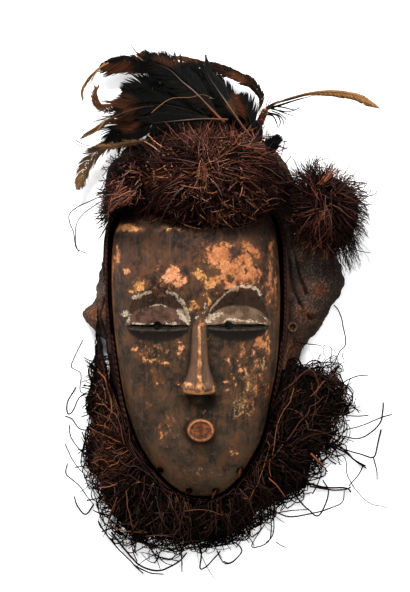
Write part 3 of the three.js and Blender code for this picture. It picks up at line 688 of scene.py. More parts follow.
def eye_values(x, y):
    """How far each place is on a lid, in a socket, in the hollow under an eye and on a lower lid."""
    on_lid, in_socket, in_hollow, on_edge, dark = (np.zeros(len(x)) for _ in range(5))
    for eye in EYES:
        bow = np.maximum(eye_bow(eye, x), 0.001)
        lid = (y - eye["slit"]) / (eye["lid_top"] - eye["slit"]) / bow
        brow = eye["slit"] + (eye["brow_top"] - eye["slit"]) * bow
        there = ease(bow, 0.02, 0.3)
        on_lid = np.maximum(on_lid, ease(lid, -0.1, 0) * ease(-lid, -1.02, -0.92) * there)
        in_socket = np.maximum(in_socket, ease(lid, 0.92, 1.02) * ease(brow - y, -1.2, 0.6) * there)
        drop = (eye["slit"] - y) / (HOLLOW_LENGTH * bow)
        in_hollow = np.maximum(in_hollow, ease(drop, -0.05, 0.05) * ease(-drop, -1.2, -0.4) * there)
        from_lid = lower_lid_line(eye, x, y)
        strip = ease(eye["slit"] - y, 0.6, 1.4) * ease(-from_lid, -0.8, 0.2)
        lower = np.maximum(0.22 * strip, np.exp(-(from_lid / 0.8) ** 2)) * ease(bow, 0.15, 0.5)
        on_edge = np.maximum(on_edge, lower)
        # Painted shadow below each slit, from the slit down over the hollow.
        below = drop * HOLLOW_LENGTH / 19
        shade = ease(below, -0.02, 0.05) * ease(-below, -1.08, -0.8) * ease(bow, 0.05, 0.3)
        dark = np.maximum(dark, shade)
    return on_lid, in_socket, in_hollow, on_edge, dark


def face_values(points):
    x, y, z = points.T
    hues, places = zip(*((hue, place) for hue, group in BARE_PLACES.items() for place in group))
    weights = [np.exp(-((x - a) / (w + 3)) ** 2 - ((y - b) / (h + 3)) ** 2) for a, b, w, h, _ in places]
    weights = np.array(weights) + 1e-9
    loose, tight = ragged(points, 3.2, 9, 21), ragged(points, 0.9, 5, 31)
    bare = np.minimum(within(loose, places), 0.1 - 2.2 * within(loose, KEPT_DARK))
    cream = within(tight, CREAM_PLACES)
    for wide, *line in CREAM_LINES:
        cream = np.maximum(cream, 0.6 - 0.6 * from_line(tight, line) / wide)
    on_lid, in_socket, in_hollow, lower_lid, under_eye = eye_values(x, y)
    out = np.hypot(x - MOUTH_X, (y - MOUTH_Y) / MOUTH_SQUASH) / MOUTH_RADIUS
    nose_half = np.interp(-y, -NOSE_STATIONS[:, 0], NOSE_STATIONS[:, 1], left=0.1, right=0.1)
    away = np.abs(x - NOSE_X) / nose_half
    ridge = ease(-away, -0.3, -0.06) * ease(-y, -32, -12) * ease(y, -54, -50)
    wings = ease(-np.abs(y + 45), -9, -4) * ease(-away, -1.1, -0.95)
    low_edge = y - 3 * np.minimum(away, 1) ** 2
    lip = ease(-low_edge, 49.8, 51.6) * ease(low_edge, -56, -53.5) * ease(-away, -1.1, -0.9)
    beside_nose = np.exp(-((away - 1.04) * nose_half / 2.4) ** 2) * ease(y, -50, -30) * ease(-y, -26, -5)
    under_nose = ease(-y, 52.5, 55) * ease(y, -80, -56) * ease(-np.abs(x - 2) + 0.4 * (y + 56), -30, -14)
    under_nose = under_nose * (1 - 0.55 * np.exp(-((x - 1) / 5) ** 2 - ((y + 60) / 4) ** 2))
    low_left = ease(-(x - MOUTH_X) - (y - MOUTH_Y), -30, 10)
    round_mouth = ease(out, 0.96, 1.04) * ease(-out, -1.6, -1.04) * low_left
    # Painted shade where shade falls on the face: in the hollows under the eyes and in the sockets, beside
    # and under the nose, round the low left of the mouth, on the forehead under the hair, and round the
    # lacing holes.
    soot = np.max([
        0.92 * in_hollow, 0.52 * in_socket, 0.6 * beside_nose, 0.9 * under_nose, 0.8 * round_mouth,
        0.75 * ease(y, 112, 132), 0.5 * ease(y, 96, 120) * ease(-x, 0, 60),
    ], axis=0)
    # Under the hair, the painted shade spares the bare patches, which stay light.
    soot = np.where(y > 105, soot * (1 - ease(bare, -0.4, 0.2)), soot)
    pierced = np.zeros(len(x))
    for bearing in LACING_BEARINGS:
        hole = on_page(bearing, wood_edge.at(bearing) - LACING_INSET - 1, 0)
        from_hole = np.hypot(x - hole[0], y - hole[1])
        soot = np.maximum(soot, np.exp(-(from_hole / 5) ** 2))
        # The lacing holes are painted near black: painted shade inside them.
        pierced = np.maximum(pierced, ease(-from_hole, -4.2, -3.2))
    edge = np.hypot(x, y) / wood_edge.at(bearing_of(x, y))
    outer_skin = front_at(x, y) + np.where(in_hollow + on_lid + in_socket > 0.3, -4, 0)
    return {
        "bare": bare,
        "hue": (weights * np.array(hues)[:, None]).sum(0) / weights.sum(0),
        "rusty": within(ragged(points, 6, 14, 41), RUSTY_PLACES),
        "flecked": within(points, FLECKED_PLACES),
        "speckled": within(loose, SPECKLED_PLACES),
        "cream": cream,
        "lid": on_lid,
        "pale_lid": on_lid * ease(x, -1, 1),
        "under_eye": under_eye,
        "nose": ease(-away, -1.0, -0.86) * ease(-y, -30, -10) * ease(y, -54, -51),
        "lower_lid": lower_lid,
        "soot": soot,
        "pierced": pierced,
        "ridge": np.maximum(ridge, 0.52 * wings),
        "lip": lip,
        "mouth": np.clip(1 - out, -0.5, 1),
        "edge": ease(edge, 0.9, 0.985),
        "inside": ease(outer_skin - z, 4.5, 5.5),
        "forehead": ease(y, 20, 75),
        "chin": ease(-y, 70, 125),
    }


for name, value in face_values(mesh_points(carved_face)).items():
    set_values(carved_face.data, name, value)
carved_face.data.shade_smooth()
carved_face.data.set_sharp_from_angle(angle=math.radians(48))


def wood_skin(wood, streaks, flakes, clouds):
    """The dark skin of the wood: sooty oil over brown, blotched, and streaked along the grain."""
    long_streaks = wood.noise(7, 3, 0.55, wood.place(1, 0.16, 0.4))
    mottle = wood.noise(6, 5, 0.65, distortion=0.8)
    blots = wood.noise(15, 5, 0.62, wood.place(1, 0.7, 0.8), distortion=0.7)
    cloudy = clouds.step(0.36, 0.62)
    low = wood.mix(cloudy, (0.022, 0.0192, 0.0145), (0.052, 0.0352, 0.0222))
    chin = wood.mix(cloudy, (0.05, 0.036, 0.0245), (0.096, 0.06, 0.037))
    high = wood.mix(clouds.step(0.36, 0.6), (0.021, 0.0155, 0.014), (0.068, 0.037, 0.026))
    return wood.coated(
        low,
        (wood.value("chin"), chin),
        (wood.value("forehead"), high),
        (blots.step(0.5, 0.66) * 0.75, (0.11, 0.052, 0.027)),
        (blots.step(0.48, 0.3) * 0.8, (0.0135, 0.0132, 0.0115)),
        (mottle.step(0.48, 0.7) * 0.6, (0.12, 0.056, 0.03)),
        (mottle.step(0.46, 0.28) * 0.7, (0.012, 0.011, 0.0105)),
        (long_streaks.step(0.48, 0.7) * 0.5, (0.1, 0.049, 0.025)),
        (streaks.step(0.56, 0.78) * 0.4, (0.15, 0.082, 0.046)),
        (streaks.step(0.48, 0.26) * 0.4, (0.01, 0.0085, 0.008)),
        (flakes.step(0.58, 0.74) * 0.5, (0.155, 0.068, 0.035)),
    )


def worn_wood(wood, chips, flakes, grit):
    """The bare wood where the skin is worn off, from pink over orange to ochre, with dirt in its grain."""
    hue = wood.value("hue")
    pink = wood.mix(chips.step(0.3, 0.7), (0.52, 0.19, 0.08), (0.74, 0.34, 0.17))
    orange = wood.mix(flakes.step(0.3, 0.7), (0.3, 0.09, 0.032), (0.64, 0.25, 0.1))
    ochre = wood.mix(chips.step(0.35, 0.65), (0.36, 0.15, 0.04), (0.74, 0.38, 0.13))
    return wood.coated(
        pink,
        (hue.step(0.05, 0.5), orange),
        (hue.step(0.5, 0.95), ochre),
        (chips.step(0.56, 0.74) * 0.4, (0.78, 0.42, 0.22)),
        (chips.step(0.44, 0.3) * 0.7, (0.17, 0.06, 0.026)),
        (grit.step(0.52, 0.64) * 0.75, (0.12, 0.045, 0.022)),
    )


def wood_finish():
    wood = Finish("carved_wood", Specular_IOR_Level=0.02)
    streaks = wood.noise(2.6, 4, 0.6, wood.place(1, 0.13, 0.35))
    clouds = wood.noise(30, 3, 0.55)
    flakes = wood.noise(11, 5, 0.62)
    grit = wood.noise(2.1, 4, 0.75)
    chips = wood.noise(4.6, 4, 0.65, distortion=0.6)
    specks = wood.noise(3.4, 3, 0.6, wood.place(1, 0.55, 0.7))
    mottle = wood.noise(7, 4, 0.6)
    rust = (wood.value("rusty") * 0.7).uneven((flakes, 1.6), (chips, 0.9)).step(-0.05, 0.75)
    lid_flakes = flakes.step(0.38, 0.62)
    dark_lid = wood.mix(lid_flakes, (0.05, 0.024, 0.018), (0.125, 0.064, 0.045))
    pale_lid = wood.mix(lid_flakes, (0.1, 0.058, 0.034), (0.23, 0.145, 0.09))
    lid_skin = wood.mix(wood.value("pale_lid"), dark_lid, pale_lid)
    lid_skin = wood.mix((streaks + chips).step(1.05, 1.3) * 0.45, lid_skin, (0.3, 0.19, 0.12))
    nose_skin = wood.mix(streaks.step(0.35, 0.65), (0.1, 0.058, 0.037), (0.165, 0.09, 0.055))
    nose_skin = wood.mix(flakes.step(0.52, 0.68) * 0.5, nose_skin, (0.19, 0.08, 0.036))
    # The bare wood, broken at its edges where the skin flaked off, and in small flecks beside it.
    worn = (wood.value("bare") * 1.1).uneven((flakes, 1.5), (chips, 2.1), (grit, 1.4))
    fleck = (wood.value("flecked").most(-0.3) * 0.55).uneven((specks, 2.6), (grit, 0.9)).step(0.5, 0.7)
    fleck_colour = wood.mix(chips.step(0.4, 0.6), (0.2, 0.075, 0.034), (0.46, 0.21, 0.1))
    dust = (wood.value("speckled") * 0.5).uneven((grit, 2.2), (streaks, 1.4), (flakes, 1))
    dust_colour = wood.mix(chips.step(0.4, 0.6), (0.28, 0.15, 0.062), (0.52, 0.35, 0.19))
    ridge = (wood.value("ridge") * 1.1).uneven((flakes, 1.8), (mottle, 1.6)).step(0.4, 0.85)
    ridge_colour = wood.mix(mottle.step(0.4, 0.62), (0.26, 0.085, 0.035), (0.7, 0.35, 0.15))
    ridge_colour = wood.mix(flakes.step(0.46, 0.36) * 0.8, ridge_colour, (0.1, 0.04, 0.026))
    mouth = wood.value("mouth")
    mouth_colour = wood.mix((flakes + chips).step(0.85, 1.2), (0.075, 0.03, 0.017), (0.27, 0.088, 0.034))
    mouth_lip = mouth.step(0.06, 0.1) * mouth.step(0.26, 0.18) * (chips + 0.45).step(0.72, 1)
    cream = wood.value("cream").uneven((chips, 1.7), (grit, 1.3)).step(0.02, 0.3)
    cream_colour = wood.mix(grit.step(0.35, 0.65), (0.3, 0.205, 0.125), (0.66, 0.53, 0.39))
    edge = (wood.value("edge") * 1.1).uneven((streaks, 1.5), (chips, 1.2)).step(0.7, 1.3)
    back = wood.mix(streaks.step(0.4, 0.7), (0.06, 0.034, 0.019), (0.13, 0.07, 0.038))
    colour = wood.coated(
        wood_skin(wood, streaks, flakes, clouds),
        (rust * 0.55, (0.15, 0.062, 0.028)),
        (wood.value("lid") * 0.9, lid_skin),
        (wood.value("nose") * 0.85, nose_skin),
        (worn.step(-0.6, 0.1) * 0.6, (0.16, 0.066, 0.03)),
        (worn.step(0.0, 0.3), worn_wood(wood, chips, flakes, grit)),
        (fleck * 0.55, fleck_colour),
        (dust.step(0.3, 0.6) * 0.7, dust_colour),
        (ridge * 0.92, ridge_colour),
        (wood.value("lip") * (chips + 0.35).step(0.6, 0.9), (0.6, 0.28, 0.11)),
        (mouth.step(0, 0.04), mouth_colour),
        (mouth_lip * 0.85, (0.46, 0.19, 0.08)),
        (cream * 0.95, cream_colour),
        (edge * 0.75, (0.24, 0.105, 0.046)),
    )
    colour = wood.coated(
        # Painted shade multiplied into the colour, darkest in the hollows.
        wood.mix(wood.value("soot"), colour, (0.16, 0.14, 0.13), "MULTIPLY"),
        # Painted shadow under each eye slit, nearly black.
        (wood.value("under_eye") * 0.85, (0.009, 0.0078, 0.007)),
        (wood.value("lower_lid") * chips.step(0.25, 0.6) * 0.75, (0.115, 0.085, 0.06)),
        # Painted shade in the lacing holes.
        (wood.value("pierced"), (0.0016, 0.0012, 0.001)),
        (wood.value("inside"), back),
    )
    dull = worn.step(0.0, 0.3) * 0.2 + cream * 0.15 + wood.value("soot") * 0.12 + wood.value("edge") * 0.3
    wood.feed(Base_Color=colour, Roughness=streaks * 0.25 + 0.34 + dull)
    relief = streaks * 0.3 + chips * 0.35 + grit * 0.25 - worn.step(0.0, 0.2) * 0.3 + cream * 0.25
    wood.bump(relief, 1.0)
    return wood


finish_piece(carved_face, "carved_wood", wood_finish(), "face_carving")

# The hood, one strip of cloth that runs round the top of the wood from the left cheek to the right one.
# Each row has its bearing, how far the cloth reaches, how high it starts, and how high it arches.
HOOD_ROWS = np.array([
    [186, 104, 20, 3], [182, 104, 21, 3], [177.6, 106.5, 22, 4], [173.6, 118, 24, 8], [165.5, 136.5, 26, 13],
    [158, 129.5, 27, 8], [149, 134.5, 28, 3], [139, 144, 30, 3], [131, 156, 32, 9], [123, 184, 35, 24],
    [114, 212, 38, 36], [104, 240, 40, 42], [92, 252, 40, 44], [80, 248, 40, 44], [69, 236, 40, 40],
    [58, 210, 38, 26], [48, 196, 35, 10], [41, 192, 32, 13], [34, 188, 30, 3], [27, 183, 28, 12],
    [22, 179, 28, 8], [16, 158, 27, 7], [8, 140, 25, 6], [0, 122, 23, 5], [-8, 114, 21, 4],
    [-17, 110, 20, 3],
])
CLOTH = 2.4
ARCH_POWER = 2.6
SEAM = 5.7
seam_edge = EdgeLine(SEAM)
HOOD_COLUMNS = 31
hood_table = smooth_line(HOOD_ROWS, 3001)[::-1]


def hood_row(bearing):
    """How far the cloth reaches, how high it starts and how high it arches, at a bearing."""
    return [table_at(hood_table, bearing, column) for column in (1, 2, 3)]


def cloth_line(bearing, share):
    """The top of the cloth from the wood (0) to the free edge (1), as how far out and how high."""
    reach, start, arch = hood_row(bearing)
    from_wood = seam_edge.at(bearing)
    lift = arch * (1 - np.abs(2 * share - 1) ** ARCH_POWER)
    return from_wood + (reach - from_wood) * share, start * (1 - share) + CLOTH * share + lift


def cloth_at(x, y):
    """The height of the cloth at a place on the page, and 0 where there is none."""
    bearing = bearing_of(x, y)
    bearing = np.where(bearing > 270, bearing - 360, bearing)
    reach = hood_row(bearing)[0]
    from_wood = seam_edge.at(bearing)
    share = (np.hypot(x, y) - from_wood) / (reach - from_wood)
    height = cloth_line(bearing, np.clip(share, 0, 1))[1]
    there = (share > -0.05) & (share < 1) & (bearing < 186) & (bearing > -17)
    return np.where(there, height, 0)


def ground_at(x, y):
    """What a fibre at a place on the page lies on: the wood, the cloth or the paper."""
    on_wood = np.hypot(x, y) < wood_edge.at(bearing_of(x, y))
    return np.maximum(np.where(on_wood, front_at(x, y), 0), cloth_at(x, y))


def line_strength(points, lines):
    """1 on the lines and 0 away from them. Each line is how wide it is, and its points' x and y in turn."""
    strength = np.zeros(len(points))
    for wide, *line in lines:
        strength = np.maximum(strength, np.exp(-(from_line(points, line) / wide) ** 2))
    return strength


PLEATS = [
    (3, 94, 124, 99, 102, 103, 80, 107, 58, 112, 44), (2.2, 103, 112, 109, 92, 115, 70, 121, 56),
    (2.4, 101, 46, 100, 30, 98, 12, 95, -10), (2, 112, 48, 118, 38, 126, 28),
    (2.2, -106, 50, -111, 34, -108, 20, -103, 8), (1.6, -104, 66, -108, 88, -104, 108),
]
FOLDS = [
    (3.4, 99, 120, 104, 98, 108, 76, 113, 60), (3, 104, 52, 112, 40, 122, 34, 134, 36),
    (2.4, 97, 108, 98, 70, 96, 30, 93, -14), (2.4, -104, 112, -102, 70, -100, 30, -97, -6),
]


def rust_places(x, y, places):
    """How far a place on the page lies within some places, each with its size."""
    strength = np.zeros_like(x)
    for px, py, size in places:
        strength = np.maximum(strength, np.exp(-((x - px) ** 2 + (y - py) ** 2) / size ** 2))
    return strength


# Where the weave shows most, and where the cloth is rusty: each place and its size.
NET_PLACES = [(128, 84, 14), (130, 66, 15), (118, 46, 12), (112, 96, 9), (-112, 60, 10), (-116, 30, 14)]
CLOTH_RUST = [
    (-120, 34, 11), (-108, 38, 8), (116, 36, 9), (124, 32, 9), (136, 60, 9), (98, 56, 4), (-106, 96, 7),
    (104, -6, 10), (92, -22, 9),
]


def make_hood():
    """The cloth, from one cheek over the crown to the other, with its underside."""
    bearings = np.linspace(186, -17, 470)
    bearing, share = np.meshgrid(bearings, np.linspace(0, 1, HOOD_COLUMNS), indexing="ij")
    distance, height = cloth_line(bearing, share)
    along = bearings[:, None, None]
    distance = distance + ease(share, 0.8, 1) * (1.6 * lumps(along, 2.6, 5) + 0.8 * lumps(along, 0.7, 6))
    top = on_page(bearing, distance, height)
    flat = top[..., :2].reshape(-1, 2)
    creases = line_strength(flat, FOLDS) * 2.6 - line_strength(flat, PLEATS) * 3.4
    creases += 0.9 * rough_lumps(flat, 17, 8) + 0.35 * lumps(flat, 4, 9)
    creases = creases.reshape(share.shape)
    fade = ease(share, 0, 0.06) * ease(-share, -1, -0.9)
    hem = 1.3 * np.exp(-((share * (distance[:, -1:] - distance[:, :1]) - 3) / 2.2) ** 2)
    out = unit(np.cross(unit(np.gradient(top, axis=1)), np.gradient(top, axis=0)))
    out *= np.sign(out[..., 2:3] + 1e-9)
    top = top + out * (creases * fade + hem)[..., None]
    under = top - out * CLOTH * 0.75
    top[..., 2] = np.maximum(top[..., 2], 1.2)
    under[..., 2] = np.clip(under[..., 2], 0.1, top[..., 2] - 0.8)
    points = np.concatenate([top, under[:, ::-1]], axis=1)
    run = covered_along(top[:, HOOD_COLUMNS // 2])
    climb = np.cumsum(np.linalg.norm(np.diff(top, axis=1, prepend=top[:, :1]), axis=-1), axis=1)
    values = {
        "warp": np.concatenate([climb, climb[:, ::-1]], 1),
        "weft": np.repeat(run[:, None], 2 * HOOD_COLUMNS, 1),
        "hem": 1 - np.concatenate([share, share[:, ::-1]], 1),
        "crease": np.concatenate([creases, creases], 1) * 0.25,
        "net": rust_places(points[..., 0], points[..., 1], NET_PLACES),
        "rusty": rust_places(points[..., 0], points[..., 1], CLOTH_RUST),
    }
    faces = [group[:, ::-1] for group in tube_faces(*points.shape[:2])]
    return new_piece("hood_cloth_woven", points.reshape(-1, 3), faces, values)


def fibres(paths, radii, values, sides=3, flat=1.0, seed=0, on_page=False):
    """Fibres as tapered tubes, with closed ends. paths holds the points of each fibre, radii a radius for
    each point, and values one number for each fibre, where one number can stand for all. flat squashes the
    section into a strip, which on_page lays flat on the page."""
    count, steps = paths.shape[:2]
    radii = np.broadcast_to(radii, (count, steps))
    run = unit(np.gradient(paths, axis=1))
    turned = np.random.default_rng(seed).normal(size=(count, 3))
    across = np.cross(run[:, 0], [0, 0, 1] if on_page else turned)
    turns = 2 * math.pi * np.arange(sides) / sides
    rings = []
    for i in range(steps):
        across = unit(across - (across * run[:, i]).sum(-1)[:, None] * run[:, i])
        beyond = np.cross(run[:, i], across)
        ring = np.cos(turns)[:, None] * across[:, None] + flat * np.sin(turns)[:, None] * beyond[:, None]
        rings.append(paths[:, i, None] + radii[:, i, None, None] * ring)
    points = np.stack(rings, 1).reshape(-1, 3)
    first = (np.arange(count) * steps * sides)[:, None, None]
    faces = [(first + group).reshape(-1, group.shape[1]) for group in tube_faces(steps, sides)]
    shown = {key: np.repeat(np.broadcast_to(value, count), steps * sides) for key, value in values.items()}
    return points, faces, shown


def joined(name, *shells):
    """One piece from several sets of points, faces and values. A value that a set lacks is 0 there."""
    first = 0
    faces = []
    values = {key: [] for key in sorted({key for shell in shells for key in shell[2]})}
    for spots, groups, shown in shells:
        faces += [group + first for group in groups]
        for key, parts in values.items():
            parts.append(np.broadcast_to(shown.get(key, 0), len(spots)))
        first += len(spots)
    points = np.concatenate([shell[0] for shell in shells])
    return new_piece(name, points, faces, {key: np.concatenate(parts) for key, parts in values.items()})


def wander(rng, count, steps, size):
    """Smooth sideways wandering for fibres, from 0 at the root."""
    share = np.linspace(0, 1, steps)[None, :, None]
    total = np.zeros((count, steps, 3))
    for i in (1, 2, 3):
        turns = rng.uniform(0.5, 1.3, (count, 1, 3)) * i
        phase = rng.uniform(0, 2 * math.pi, (count, 1, 3))
        total += np.sin(2 * math.pi * turns * share + phase) / i
    return size * (total - total[:, :1]) * np.sqrt(share)


def curve_through(a, b, c, d, steps):
    """Curves that leave a towards b and come to d from c."""
    t = np.linspace(0, 1, steps)[None, :, None]
    a, b, c, d = (each[:, None] for each in (a, b, c, d))
    return (1 - t) ** 3 * a + 3 * t * (1 - t) ** 2 * b + 3 * t ** 2 * (1 - t) * c + t ** 3 * d


def taper(steps, radius, tip):
    """The radii of fibres that get thinner towards their tips."""
    return np.reshape(radius, (-1, 1)) * (1 + (tip - 1) * np.linspace(0, 1, steps) ** 2)


def lifted(paths, gap=0.9):
    """Keeps fibres out of the wood, the cloth and the paper."""
    ground = ground_at(paths[..., 0], paths[..., 1])
    paths = paths.copy()
    paths[..., 2] = np.maximum(paths[..., 2], ground + gap)
    return paths


def towards(angle):
    """Steps of 1 mm on the page, towards an angle."""
    return np.stack([np.cos(angle), np.sin(angle)], -1)


# Each tuft covers a mound: its middle and its half sizes.
FOREHEAD = np.array([[15, 181, 74], [78, 55, 48]])
LEFT_TUFT = np.array([[-78, 161, 56], [28, 50, 36]])
POMPOM = np.array([[142, 146, 44], [46, 56, 44]])


def mound_height(tuft, x, y):
    """The height of a tuft's top over a place on the page, running down past its edge."""
    middle, half = tuft
    out = ((x - middle[0]) / half[0]) ** 2 + ((y - middle[1]) / half[1]) ** 2
    inside = np.sqrt(np.clip(1 - out, 0, None))
    return middle[2] + half[2] * (inside - 0.9 * np.clip(np.sqrt(out) - 1, 0, None))


def core(tuft, size, rows=40, sides=60):
    """The dark mat under a tuft's fibres, closed, and flat where it rests on the mask."""
    # The mat stands for the dense dark fibre deep in the tuft, painted in the darkest colour as the shade
    # among the fibres.
    turn = np.linspace(0.02, math.pi - 0.02, rows)[:, None]
    spin = np.linspace(0, 2 * math.pi, sides, endpoint=False)[None, :]
    shape = [-np.cos(turn), np.sin(turn) * np.cos(spin), np.sin(turn) * np.sin(spin)]
    shape = np.stack(np.broadcast_arrays(*shape), -1)
    uneven = 1 + 0.06 * rough_lumps(shape * 10, 4, 21)[..., None]
    spots = lifted(tuft[0] + tuft[1] * shape * size * uneven, 0.5)
    return spots.reshape(-1, 3), tube_faces(rows, sides), {"mat": 1}


def mop(tuft, pole, count, length, seed, steps=6, thick=0.64, crossing=0.22, lean=0.45, rise=5.0):
    """Stiff cut fibres that lie over a mound, away from a pole, and stand off it at their tips."""
    rng = np.random.default_rng(seed)
    out, spin = np.sqrt(rng.random(count)) * 1.04, rng.uniform(0, 2 * math.pi, count)
    tip = tuft[0, :2] + tuft[1, :2] * out[:, None] * towards(spin)
    heading = np.arctan2(tip[:, 1] - pole[1], tip[:, 0] - pole[0]) + rng.normal(0, lean, count)
    stray = rng.random(count) < crossing
    heading = np.where(stray, rng.uniform(0, 2 * math.pi, count), heading)
    run = length * rng.uniform(0.45, 1.15, count)
    way = towards(heading) * run[:, None]
    side = np.stack([-way[:, 1], way[:, 0]], -1) * rng.normal(0, 0.09, count)[:, None]
    root = tip - way

    def raised(spots, by):
        return np.column_stack([spots, np.maximum(mound_height(tuft, *spots.T), ground_at(*spots.T)) + by])

    depth = rng.random(count) ** 1.4
    paths = curve_through(
        raised(root, -rng.uniform(10, 26, count)),
        raised(root + 0.35 * way + side, 1 - 16 * depth),
        raised(tip - 0.3 * way + side, 2 - 15 * depth),
        raised(tip, rng.uniform(-2, rise, count) - 13 * depth),
        steps,
    )
    paths = lifted(paths + wander(rng, count, steps, rng.uniform(0.1, 0.7, (count, 1, 1))))
    # Fibres that lie deeper in the mound are darker: painted shade under the fibres over them.
    shade = 1.1 * rng.random(count) ** 1.8 * (1 - 0.75 * depth)
    return paths, taper(steps, thick * rng.uniform(0.5, 1.4, count), 0.35), shade


def spiky(tuft, count, seed, thick=0.65, low=0.86, high=1.12, start=0.6, bend=1.4, down=0.1, skewed=0.3):
    """Fibres that stand out all round from the middle of a tuft."""
    steps = 6
    middle, half = tuft
    rng = np.random.default_rng(seed)
    way = unit(rng.normal(size=(count, 3)))
    way[:, 2] = np.where(way[:, 2] < -0.25, -way[:, 2], way[:, 2])
    skew = way + rng.normal(0, skewed, (count, 3))
    reach = rng.uniform(low, high, count)
    tip = middle + half * way * reach[:, None]
    root = middle + half * skew * start
    third = (tip - root) / 3
    kink = rng.normal(0, bend, (count, 3))
    drop = np.array([0, -down, 0]) * np.linalg.norm(third, axis=1)[:, None]
    paths = curve_through(root, root + third + kink, tip - third + kink + drop, tip + 2 * drop, steps)
    paths = lifted(paths + wander(rng, count, steps, rng.uniform(0.1, 0.6, (count, 1, 1))))
    # Fibres that end short, inside the tuft, are darker: painted shade within it.
    shade = rng.random(count) ** 2.6 * 1.2 * ease(reach, low - 0.1, 1)
    return paths, taper(steps, thick * rng.uniform(0.5, 1.3, count), 0.35), shade


def all_groups(groups):
    """One group of fibres from several: their paths, their radii and how light they are."""
    return tuple(np.concatenate([group[i] for group in groups]) for i in range(3))


def locks(tuft, rows, seed, steps=8, thick=0.66):
    """Bundles of fibres over a mound. Each row has the x and y of its start and its end on the page, its
    half width at both, how many fibres it has, how light they are at least and at most, how high it lies
    over the mound at both ends, and how curly it is."""
    rng = np.random.default_rng(seed)
    groups = []
    for *ends, wide, wide_end, number, dark, light, low, high, curl in rows:
        start, end = np.reshape(ends, (2, 2)).astype(float)
        length = np.linalg.norm(end - start)
        side = np.array([start[1] - end[1], end[0] - start[0]]) / length
        place = rng.uniform(-1, 1, (number, 1))
        slip = rng.uniform(-0.4, 0.2, (number, 1)) * (end - start)
        a = start + side * (place + rng.normal(0, 0.25, (number, 1))) * wide + slip
        b = end + side * (place + rng.normal(0, 0.6, (number, 1))) * wide_end + slip
        t = np.linspace(0, 1, steps)[None, :, None]
        flat = a[:, None] + (b - a)[:, None] * t
        flat = flat + side * rng.normal(0, 0.05, (number, 1, 1)) * length * t * (1 - t) * 4
        x, y = flat[..., 0], flat[..., 1]
        depth = rng.random((number, 1)) ** 0.8
        lift = (low + (high - low) * t[..., 0]) + 2.5 - 11 * depth
        top = np.maximum(mound_height(tuft, x, y), ground_at(x, y) + 2)
        paths = np.concatenate([flat, (top + lift)[..., None]], -1)
        paths = lifted(paths + wander(rng, number, steps, curl * rng.uniform(0.4, 1, (number, 1, 1))))
        shade = dark + (light - dark) * rng.random(number) ** 1.3
        radii = taper(steps, thick * rng.uniform(0.6, 1.2, number), 0.35)
        # Fibres that lie deeper are darker: painted shade under the fibres over them.
        groups.append((paths, radii, shade * (1 - 0.75 * depth[:, 0])))
    return all_groups(groups)


def shaded(group, rust=(), seed=0, line=None):
    """The fibres of a group, rusty near some places on the page and partly grey elsewhere, without those
    that would hang down over the wood below a line."""
    paths, radii, shade = group
    if line is not None:
        kept = (paths[..., 1] > table_at(line, paths[..., 0])).all(1)
        paths, radii, shade = paths[kept], radii[kept], shade[kept]
    tips = paths[:, -3]
    rusty = rust_places(tips[:, 0], tips[:, 1], rust)
    grey = np.random.default_rng(seed + 90).uniform(0, 1, len(shade)) ** 1.3 * (1 - rusty)
    tint = np.clip(shade + 0.55 * rusty * (0.3 + shade), 0, 1)
    return fibres(paths, radii, {"tint": tint, "grey": grey}, seed=seed)


def fibre_finish(name, dark, middle, light, pale, greys):
    """Raffia: most of it nearly black, some of it reddish, some of it grey, a few strands light."""
    fibre = Finish(name, Specular_IOR_Level=0.02)
    tint = fibre.value("tint")
    streak = fibre.noise(1.3, 3, 0.6)
    patches = fibre.noise(22, 2)
    share = tint * 0.9 + (streak - 0.5) * 0.35 + (patches - 0.5) * 0.25
    colour = fibre.ramp(share, (0.0, dark), (0.3, middle), (0.62, light), (0.95, pale))
    grey = fibre.ramp(share, (0.0, dark), (0.3, greys[0]), (0.62, greys[1]), (0.95, greys[2]))
    colour = fibre.mix(fibre.value("grey"), colour, grey)
    # The mats take the darkest colour: dense fibre, and painted shade deep among the fibres.
    colour = fibre.mix(fibre.value("mat"), colour, dark)
    fibre.feed(Base_Color=colour, Roughness=streak * 0.3 + 0.5)
    fibre.bump(streak, 0.25)
    return fibre


hair = fibre_finish(
    "cut_raffia", (0.0013, 0.0007, 0.0006), (0.034, 0.0105, 0.0075), (0.23, 0.062, 0.028),
    (0.58, 0.25, 0.12), [(0.022, 0.0115, 0.01), (0.15, 0.08, 0.07), (0.36, 0.22, 0.16)],
)
beard_hair = fibre_finish(
    "long_raffia", (0.0009, 0.0006, 0.0005), (0.012, 0.0052, 0.0038), (0.1, 0.036, 0.02),
    (0.27, 0.085, 0.03), [(0.0085, 0.0058, 0.005), (0.075, 0.047, 0.038), (0.2, 0.12, 0.09)],
)

